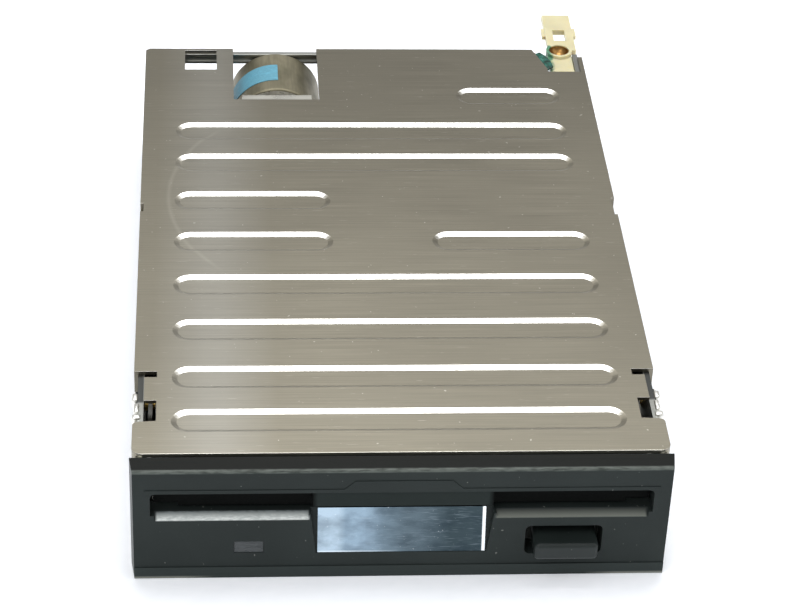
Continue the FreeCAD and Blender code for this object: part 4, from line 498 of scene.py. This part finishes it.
def circuit_board():
    """Glass epoxy board under green solder lacquer: copper tracks show lighter, with tinned pads."""
    material, tree, shader, place = begin("glass_epoxy_board", IOR=1.5)
    base = tuple(finish().board)
    track_pitch = 2.4
    pad_pitch = 2.54
    tracks = node(tree, "ShaderNodeTexBrick", {"offset": 0.37},
                  {"Vector": place, "Color1": (0.1, 0.1, 0.1, 1), "Color2": (0.9, 0.9, 0.9, 1),
                   "Mortar": (0, 0, 0, 1), "Scale": 1 / (track_pitch * MM), "Mortar Size": 0.05,
                   "Brick Width": 5.5, "Row Height": 0.5}).outputs["Color"]
    weave = grain(tree, place, 0.5)
    tone = tint(tree, tracks, 0.3, 0.6, shade(base, 0.72), shade(base, 1.4))
    tone = tint(tree, weave, 0.3, 0.7, tone, shade(base, 0.5), most=0.25)
    pads = node(tree, "ShaderNodeTexVoronoi", (),
                {"Vector": place, "Scale": 1 / (pad_pitch * MM), "Randomness": 0.4}).outputs["Distance"]
    tone = tint(tree, pads, 0.2, 0.24, linear("c3c4bd"), tone)
    finish_with(tree, shader, tone, weave, (0.26, 0.4), tracks, 0.03)
    return material


def enamelled_copper():
    """Enamelled copper wire wound in turns: bright ridges of orange metal, drawn coarse enough to show."""
    material, tree, shader, place = begin("copper_wire_enamelled", Metallic=1.0)
    turns = node(tree, "ShaderNodeTexWave", {"bands_direction": "Z"},
                 {"Vector": place, "Scale": 1 / (1.4 * MM), "Distortion": 0.6}).outputs["Fac"]
    tone = tint(tree, turns, 0.1, 0.8, linear("6b3110"), linear("d98447"))
    finish_with(tree, shader, tone, turns, (0.25, 0.38), turns, 0.06)
    return material


def ferrite():
    """Sintered ferrite: matt dark grey with a sugary grain."""
    material, tree, shader, place = begin("ferrite_sintered", IOR=1.8)
    grit = grain(tree, place, 0.4, detail=4.0)
    tone = tint(tree, grit, 0.3, 0.7, linear("1d1c1c"), linear("3d3b3a"))
    finish_with(tree, shader, tone, grit, (0.5, 0.7), grit, 0.03)
    return material


def flat_cable():
    """Polyimide flat cable: amber film over narrow copper tracks."""
    material, tree, shader, place = begin("polyimide_flat_cable", IOR=1.6)
    stripes = node(tree, "ShaderNodeTexWave", {"bands_direction": "X"},
                   {"Vector": place, "Scale": 1 / (3.1 * MM)}).outputs["Fac"]
    clouds = grain(tree, place, 3)
    tone = tint(tree, stripes, 0.35, 0.6, linear("7a4312"), linear("c98a3d"))
    finish_with(tree, shader, tone, clouds, (0.2, 0.36), stripes, 0.02)
    return material


def studio_floor():
    """Matt white paper. To the camera and in reflections it also glows a little, so it stays white."""
    added_light = 0.19
    material, tree, shader, place = begin("paper_sweep_white", Specular_IOR_Level=0.0)
    fibres = grain(tree, place, 2, detail=3.0)
    tone = tint(tree, fibres, 0.3, 0.7, linear("f1f4f8"), linear("fafbff"))
    finish_with(tree, shader, tone, fibres, (0.85, 0.95), fibres, 0.01)
    seen = node(tree, "ShaderNodeLightPath").outputs
    shows = seen["Is Camera Ray"]
    for kind in ("Is Glossy Ray", "Is Transmission Ray"):
        shows = node(tree, "ShaderNodeMath", {"operation": "MAXIMUM"}, {0: shows, 1: seen[kind]}).outputs[0]
    strength = node(tree, "ShaderNodeMath", {"operation": "MULTIPLY"}, {0: shows, 1: added_light})
    glow = node(tree, "ShaderNodeEmission", (),
                {"Color": linear("f6f9ff"), "Strength": strength.outputs[0]})
    both = node(tree, "ShaderNodeAddShader", (), {0: shader.outputs[0], 1: glow.outputs[0]})
    output = [item for item in tree.nodes if item.type == "OUTPUT_MATERIAL"][0]
    tree.links.new(both.outputs[0], output.inputs["Surface"])
    return material


# Dressing the nodes of the frame.
def dress(material, *names):
    """Gives a finish to nodes of the frame."""
    for name in names:
        item = frame["nodes"][name]
        item.data.materials.clear()
        item.data.materials.append(material)


def choose(item):
    """Makes an object the only one selected, and the active one."""
    bpy.ops.object.select_all(action="DESELECT")
    item.select_set(True)
    bpy.context.view_layer.objects.active = item


def round_edges(item, width, angle, segments):
    """Rounds the edges that are sharper than an angle in degrees."""
    edges = item.modifiers.new("soft_edges", "BEVEL")
    edges.width = width
    edges.segments = segments
    edges.limit_method = "ANGLE"
    edges.angle_limit = math.radians(angle)
    edges.use_clamp_overlap = True
    bpy.ops.object.modifier_apply(modifier=edges.name)


def smooth(item):
    """Smooth shading in which large flat faces stay flat."""
    choose(item)
    bpy.ops.object.shade_smooth_by_angle(angle=SMOOTH_ANGLE)
    even = item.modifiers.new("flats_stay_flat", "WEIGHTED_NORMAL")
    even.keep_sharp = True
    bpy.ops.object.modifier_apply(modifier=even.name)


def copy_of(name, material):
    """A copy of a node in one finish, ready to be changed."""
    item = bpy.data.objects.new(f"{name}_dressed", frame["nodes"][name].data.copy())
    bpy.context.scene.collection.objects.link(item)
    item.data.materials.clear()
    item.data.materials.append(material)
    return item


def refined(name, material, width, angle=30.0, segments=2):
    """A copy of a node with joined triangles, whole flats and rounded edges. It stands for the node."""
    item = copy_of(name, material)
    choose(item)
    bpy.ops.mesh.customdata_custom_splitnormals_clear()
    bpy.ops.object.mode_set(mode="EDIT")
    bpy.ops.mesh.select_all(action="SELECT")
    bpy.ops.mesh.remove_doubles(threshold=MERGE_DISTANCE)
    bpy.ops.mesh.dissolve_limited(angle_limit=FLAT_ANGLE)
    bpy.ops.object.mode_set(mode="OBJECT")
    if width:
        round_edges(item, width, angle, segments)
    smooth(item)
    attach(item, frame["nodes"][name]["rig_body"])
    stand_for(name)


def stretching(name, material):
    """A copy of the springs along Y, with its place baked into its mesh, standing for the node."""
    item = copy_of(name, material)
    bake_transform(item)
    stand_for(name)


def stand_for(name):
    """Hides the node, which a piece stands for."""
    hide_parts(name)


# Small pieces of their own.
def raw_block(name, x, y, z):
    """A box between places in mm along X, Y and Z, ready to be shaped further."""
    centre = [(low + high) / 2 * MM for low, high in (x, y, z)]
    bpy.ops.object.select_all(action="DESELECT")
    bpy.ops.mesh.primitive_cube_add(size=1, location=centre)
    item = bpy.context.active_object
    item.name = name
    item.scale = [(high - low) * MM for low, high in (x, y, z)]
    bpy.ops.object.transform_apply(location=True, rotation=True, scale=True)
    return item


def soften(item, width, segments=2):
    """Rounds the edges of a piece by a width in mm and smooths it."""
    choose(item)
    round_edges(item, width * MM, 30.0, segments)
    smooth(item)


def join(name, items, material):
    """Makes one piece of several, in one finish, fixed to the frame body."""
    choose(items[0])
    for item in items:
        item.select_set(True)
    bpy.ops.object.join()
    whole = bpy.context.active_object
    whole.name = name
    whole.data.materials.clear()
    whole.data.materials.append(material)
    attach(whole, frame["nodes"]["chassis"]["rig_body"])
    return whole


def button_tray(material):
    """The moulded tray behind the button's hole, with a wall at each side and three ribs below."""
    room = 2.2
    behind_face = 4.7
    length = 14
    wall = 0.9
    rib_half = 0.3
    floor_height = (3.2, 4.3)
    wall_height = (4.2, 5.2)
    rib_height = (2.6, 3.3)
    low, high = reach("eject_button")
    left, right = low.x / MM - room, high.x / MM + room
    front = reach("front_bezel")[0].y / MM + behind_face
    back = front + length
    tray = [raw_block("tray_floor", (left, right), (front, back), floor_height),
            raw_block("tray_wall_left", (left, left + wall), (front, back), wall_height),
            raw_block("tray_wall_right", (right - wall, right), (front, back), wall_height)]
    for rib in range(3):
        place = left + (rib + 1) * (right - left) / 4
        across = (place - rib_half, place + rib_half)
        tray.append(raw_block(f"tray_rib_{rib}", across, (front + 1, back - 1), rib_height))
    soften(join("button_tray", tray, material), 0.15)


def contact_fingers(material):
    """Bent spring contacts on both side walls, where the cover's notches bare them."""
    height = (23.2, 25.25)
    # Each finger's inner and outer place beside the wall, and its front and back.
    places = (((49.5, 50.7), (-62.5, -60.2)),
              ((49.2, 50.3), (-66.2, -63.2)),
              ((48.9, 50.6), (-68.1, -66.6)))
    fingers = []
    for side in (-1, 1):
        for number, (out, along) in enumerate(places):
            across = sorted(side * place for place in out)
            finger = raw_block(f"finger_{number}_{side}", across, along, height)
            soften(finger, 0.45, segments=3)
            fingers.append(finger)
    join("contact_fingers", fingers, material)


# Steps that the panel lists.
class DRIVE_OT_case(bpy.types.Operator):
    """Finish the cover, the chassis and the rear crossbar, and add the contact fingers"""
    bl_idname = "drive.case"
    bl_label = "Sheet metal case"

    def execute(self, context):
        refined("top_cover", cover_steel(), sizes().sheet_edge, angle=12, segments=3)
        zinc = sheet_metal("zinc_plated_steel_sheet", "b4b5b0", rough=0.34)
        refined("chassis", chassis_zinc(), sizes().sheet_edge)
        refined("rear_crossbar", zinc, sizes().sheet_edge)
        dress(zinc, "disk_carrier", "slide_plate", "shutter_lever")
        contact_fingers(sheet_metal("tinned_spring_contacts", "f0efe9", rough=0.25, lay_lines=(1, 1, 1)))
        return {"FINISHED"}


class DRIVE_OT_front(bpy.types.Operator):
    """Finish the bezel, its flap, finger plate, light and eject button, and add the button's tray"""
    bl_idname = "drive.front"
    bl_label = "Front bezel"

    def execute(self, context):
        refined("front_bezel", bezel_plastic(), sizes().bezel_edge, angle=20, segments=3)
        refined("door_flap", flap_plastic(), 0)
        cap = moulded("abs_moulded_button", tuple(finish().button), rough=0.34, size=1.2, relief=0.012,
                      dust=0.3, gloss=0.26)
        refined("eject_button", cap, 0)
        button_tray(moulded("abs_button_tray", linear("8d928f"), rough=0.5, size=0.5, relief=0.015,
                            dust=0.05, gloss=0.3))
        refined("finger_plate", plate_steel(), 0)
        refined("led_lens", lens_plastic(), 0)
        lamp = moulded("epoxy_lamp_green", linear("7db25e"), rough=0.2, size=2.0, relief=0.004)
        dress(lamp, "activity_led")
        return {"FINISHED"}


class DRIVE_OT_rear(bpy.types.Operator):
    """Finish the nylon lug, its screw and the motor can with its bare label"""
    bl_idname = "drive.rear"
    bl_label = "Lug and motor"

    def execute(self, context):
        refined("nylon_lug", lug_nylon(), sizes().lug_edge, segments=3)
        refined("lug_screw", sheet_metal("bronze_screw", "9a7444", rough=0.3), 0)
        refined("lock_lacquer", lock_lacquer(), sizes().lug_edge, segments=3)
        refined("stepper_can", can_nickel(), sizes().sheet_edge)
        refined("stepper_bracket", sheet_metal("zinc_plated_bracket", "dddbd2", rough=0.3), 0)
        refined("stepper_label", motor_label(), 0)
        dress(ferrite(), "stepper_magnet")
        dress(enamelled_copper(), "stepper_coils", "stator_coils")
        return {"FINISHED"}


class DRIVE_OT_mechanism(bpy.types.Operator):
    """Finish the rods, springs, pins, hub, heads, plungers, sensors and flat cables"""
    bl_idname = "drive.mechanism"
    bl_label = "Mechanism"

    def execute(self, context):
        ground = sheet_metal("ground_steel_rod", "c9cac8", rough=0.16, lay_lines=(0.3, 6, 0.3),
                             relief=0.002)
        dress(ground, "guide_rods", "lead_screw", "spindle_shaft", "flap_rod", "arm_pin", "drive_pin")
        wire = sheet_metal("spring_steel_wire", "8b8d8f", rough=0.3, lay_lines=(0.5, 0.5, 0.5))
        stretching("eject_springs", wire)
        dress(wire, "flap_spring", "lever_spring", "arm_spring")
        brass = sheet_metal("brass_turned", "c0a05c", rough=0.25, lay_lines=(0.3, 0.3, 3))
        dress(brass, "carrier_pins", "lever_rivet", "spring_posts", "screw_bearing", "spindle_bearing",
              "board_spacers")
        plated = sheet_metal("steel_screw_plated", "b6b7b4", rough=0.3, lay_lines=(1, 1, 1))
        dress(plated, "board_screws", "motor_screws")
        stamped = sheet_metal("hub_steel_stamped", "b3b4b0", rough=0.25, lay_lines=(0.4, 0.4, 0.4))
        dress(stamped, "spindle_hub", "rod_clamps", "spindle_rotor")
        carriage = moulded("pbt_carriage", linear("202326"), rough=0.42, size=0.5)
        dress(carriage, "head_carriage", "upper_arm", "track_flag")
        head = moulded("barium_titanate_head", linear("6d675c"), rough=0.15, size=1.5, relief=0.004)
        dress(head, "lower_head", "upper_head")
        plunger = moulded("pom_plunger", linear("e4e0d0"), rough=0.35, size=0.8, relief=0.01)
        dress(plunger, "write_protect_plunger", "disk_present_plunger")
        sensor = moulded("pbt_sensor_body", linear("1e2022"), rough=0.4, size=0.5)
        dress(sensor, "sensor_switches", "track_sensor")
        dress(flat_cable(), "head_flex", "stepper_lead")
        return {"FINISHED"}


class DRIVE_OT_boards(bpy.types.Operator):
    """Finish the two circuit boards, their chips, parts and connectors"""
    bl_idname = "drive.boards"
    bl_label = "Circuit boards"

    def execute(self, context):
        dress(circuit_board(), "main_board", "motor_board")
        chips = moulded("epoxy_chip_body", linear("26282a"), rough=0.5, size=0.3, dust=0.1)
        refined("board_chips", chips, sizes().chip_edge)
        dress(moulded("ceramic_parts", linear("9a8a6a"), rough=0.35, size=0.6), "board_parts")
        header = moulded("pbt_header", linear("1c1d1f"), rough=0.4, size=0.6)
        refined("signal_header", header, sizes().connector_edge)
        inlet = moulded("nylon_inlet_white", linear("e3dfd1"), rough=0.35, size=0.6, relief=0.01)
        refined("power_inlet", inlet, sizes().connector_edge)
        gold = sheet_metal("gold_flashed_pins", "c9b06a", rough=0.2, lay_lines=(0.4, 4, 0.4))
        dress(gold, "connector_pins")
        return {"FINISHED"}


class DRIVE_OT_stage(bpy.types.Operator):
    """Add the white floor, the soft lights, the pale surroundings and the camera"""
    bl_idname = "drive.stage"
    bl_label = "Stage"

    def execute(self, context):
        bpy.ops.object.select_all(action="DESELECT")
        bpy.ops.mesh.primitive_plane_add(size=8, location=(0, 0, -0.1 * MM))
        floor = context.active_object
        floor.name = "paper_floor"
        floor.data.materials.append(studio_floor())
        soft_light("top_panel", (0.03, 0.11, 0.6), size=0.3, power=1.7)
        soft_light("rear_panel", (0.0, 0.24, 0.36), size=0.2, power=0.21, target=(0.0, -0.07, 0),
                   stretch=1.7)
        soft_light("front_panel", (-0.45, -0.62, 0.95), size=0.6, power=3.2)
        soft_light("right_panel", (0.9, -0.2, 0.6), size=0.7, power=1.5)
        surroundings(context.scene)
        camera(context.scene)
        return {"FINISHED"}


def soft_light(name, place, size, power, target=(0, 0, 0), stretch=1.0):
    """A soft panel aimed at a point. Stretch is how much wider than high it is."""
    bpy.ops.object.light_add(type="AREA", location=place)
    lamp = bpy.context.active_object
    lamp.name = name
    lamp.data.shape = "RECTANGLE"
    lamp.data.size = size * stretch
    lamp.data.size_y = size
    lamp.data.energy = power
    lamp.visible_camera = False
    lamp.rotation_euler = (Vector(target) - Vector(place)).to_track_quat("-Z", "Y").to_euler()


def surroundings(scene):
    """A white horizon, greyer half way up and lighter again overhead."""
    horizon = (1.0, 1.0, 1.0, 1)
    overhead = (0.75, 0.77, 0.8, 1)
    between = ((0.3, 0.5), (0.48, 0.41), (0.56, 0.4), (0.66, 1.05))  # how high up, and how bright
    world = bpy.data.worlds.new("studio_room")
    scene.world = world
    world.use_nodes = True
    tree = world.node_tree
    tree.nodes.clear()
    direction = node(tree, "ShaderNodeTexCoord").outputs["Generated"]
    height = node(tree, "ShaderNodeSeparateXYZ", (), {0: direction}).outputs[Z]
    ramp = node(tree, "ShaderNodeValToRGB", (), {0: height})
    steps = ramp.color_ramp.elements
    steps[0].position = 0.1
    steps[0].color = horizon
    steps[1].position = 1.0
    steps[1].color = overhead
    for position, level in between:
        step = steps.new(position)
        step.color = (level, level, level * 0.99, 1)
    back = node(tree, "ShaderNodeBackground", (), {"Color": ramp.outputs[0], "Strength": 0.9})
    node(tree, "ShaderNodeOutputWorld", (), {"Surface": back.outputs[0]})


def camera(scene):
    """The photograph's viewpoint: nearly head on, looking down, with a slight roll."""
    place = (-0.035, -0.46425, 0.3317)
    around = math.radians(4.92)
    down_by = math.radians(35.27)
    roll = math.radians(-2.62)
    focal_length = 119.2  # mm, on a sensor 36 mm wide
    level = math.cos(down_by)
    ahead = Vector((math.sin(around) * level, math.cos(around) * level, -math.sin(down_by)))
    right = Vector((math.cos(around), -math.sin(around), 0))
    down = ahead.cross(right)
    image_x = right * math.cos(roll) + down * math.sin(roll)
    image_y = down * math.cos(roll) - right * math.sin(roll)
    bpy.ops.object.camera_add()
    eye = bpy.context.active_object
    eye.name = "camera"
    turn = Matrix((image_x, -image_y, -ahead)).transposed().to_4x4()
    eye.matrix_world = Matrix.Translation(place) @ turn
    eye.data.sensor_width = 36
    eye.data.lens = focal_length
    eye.data.clip_start = 10 * MM
    scene.camera = eye
    scene.view_settings.view_transform = "Standard"


class DRIVE_PT_panel(bpy.types.Panel):
    """Sizes, colours and steps of the drive's looks"""
    bl_idname = "DRIVE_PT_panel"
    bl_label = "Floppy drive"
    bl_space_type = "VIEW_3D"
    bl_region_type = "UI"
    bl_category = "Drive"

    def draw(self, context):
        for group in (context.scene.drive_finish, context.scene.drive_sizes):
            for name in group.__annotations__:
                self.layout.prop(group, name)
        for step in STEPS:
            self.layout.operator(step.bl_idname)


STEPS = (DRIVE_OT_case, DRIVE_OT_front, DRIVE_OT_rear, DRIVE_OT_mechanism, DRIVE_OT_boards, DRIVE_OT_stage)
CLASSES = (DriveFinish, DriveSizes, *STEPS, DRIVE_PT_panel)


def register():
    """Adds the classes, and the scene's sizes and colours."""
    for item in CLASSES:
        bpy.utils.register_class(item)
    bpy.types.Scene.drive_finish = bpy.props.PointerProperty(type=DriveFinish)
    bpy.types.Scene.drive_sizes = bpy.props.PointerProperty(type=DriveSizes)


def unregister():
    """Takes away what register added."""
    del bpy.types.Scene.drive_sizes
    del bpy.types.Scene.drive_finish
    for item in reversed(CLASSES):
        bpy.utils.unregister_class(item)


def main():
    """Builds the looks step by step."""
    register()
    bpy.ops.drive.case()
    bpy.ops.drive.front()
    bpy.ops.drive.rear()
    bpy.ops.drive.mechanism()
    bpy.ops.drive.boards()
    bpy.ops.drive.stage()


if __name__ == "__main__":
    main()
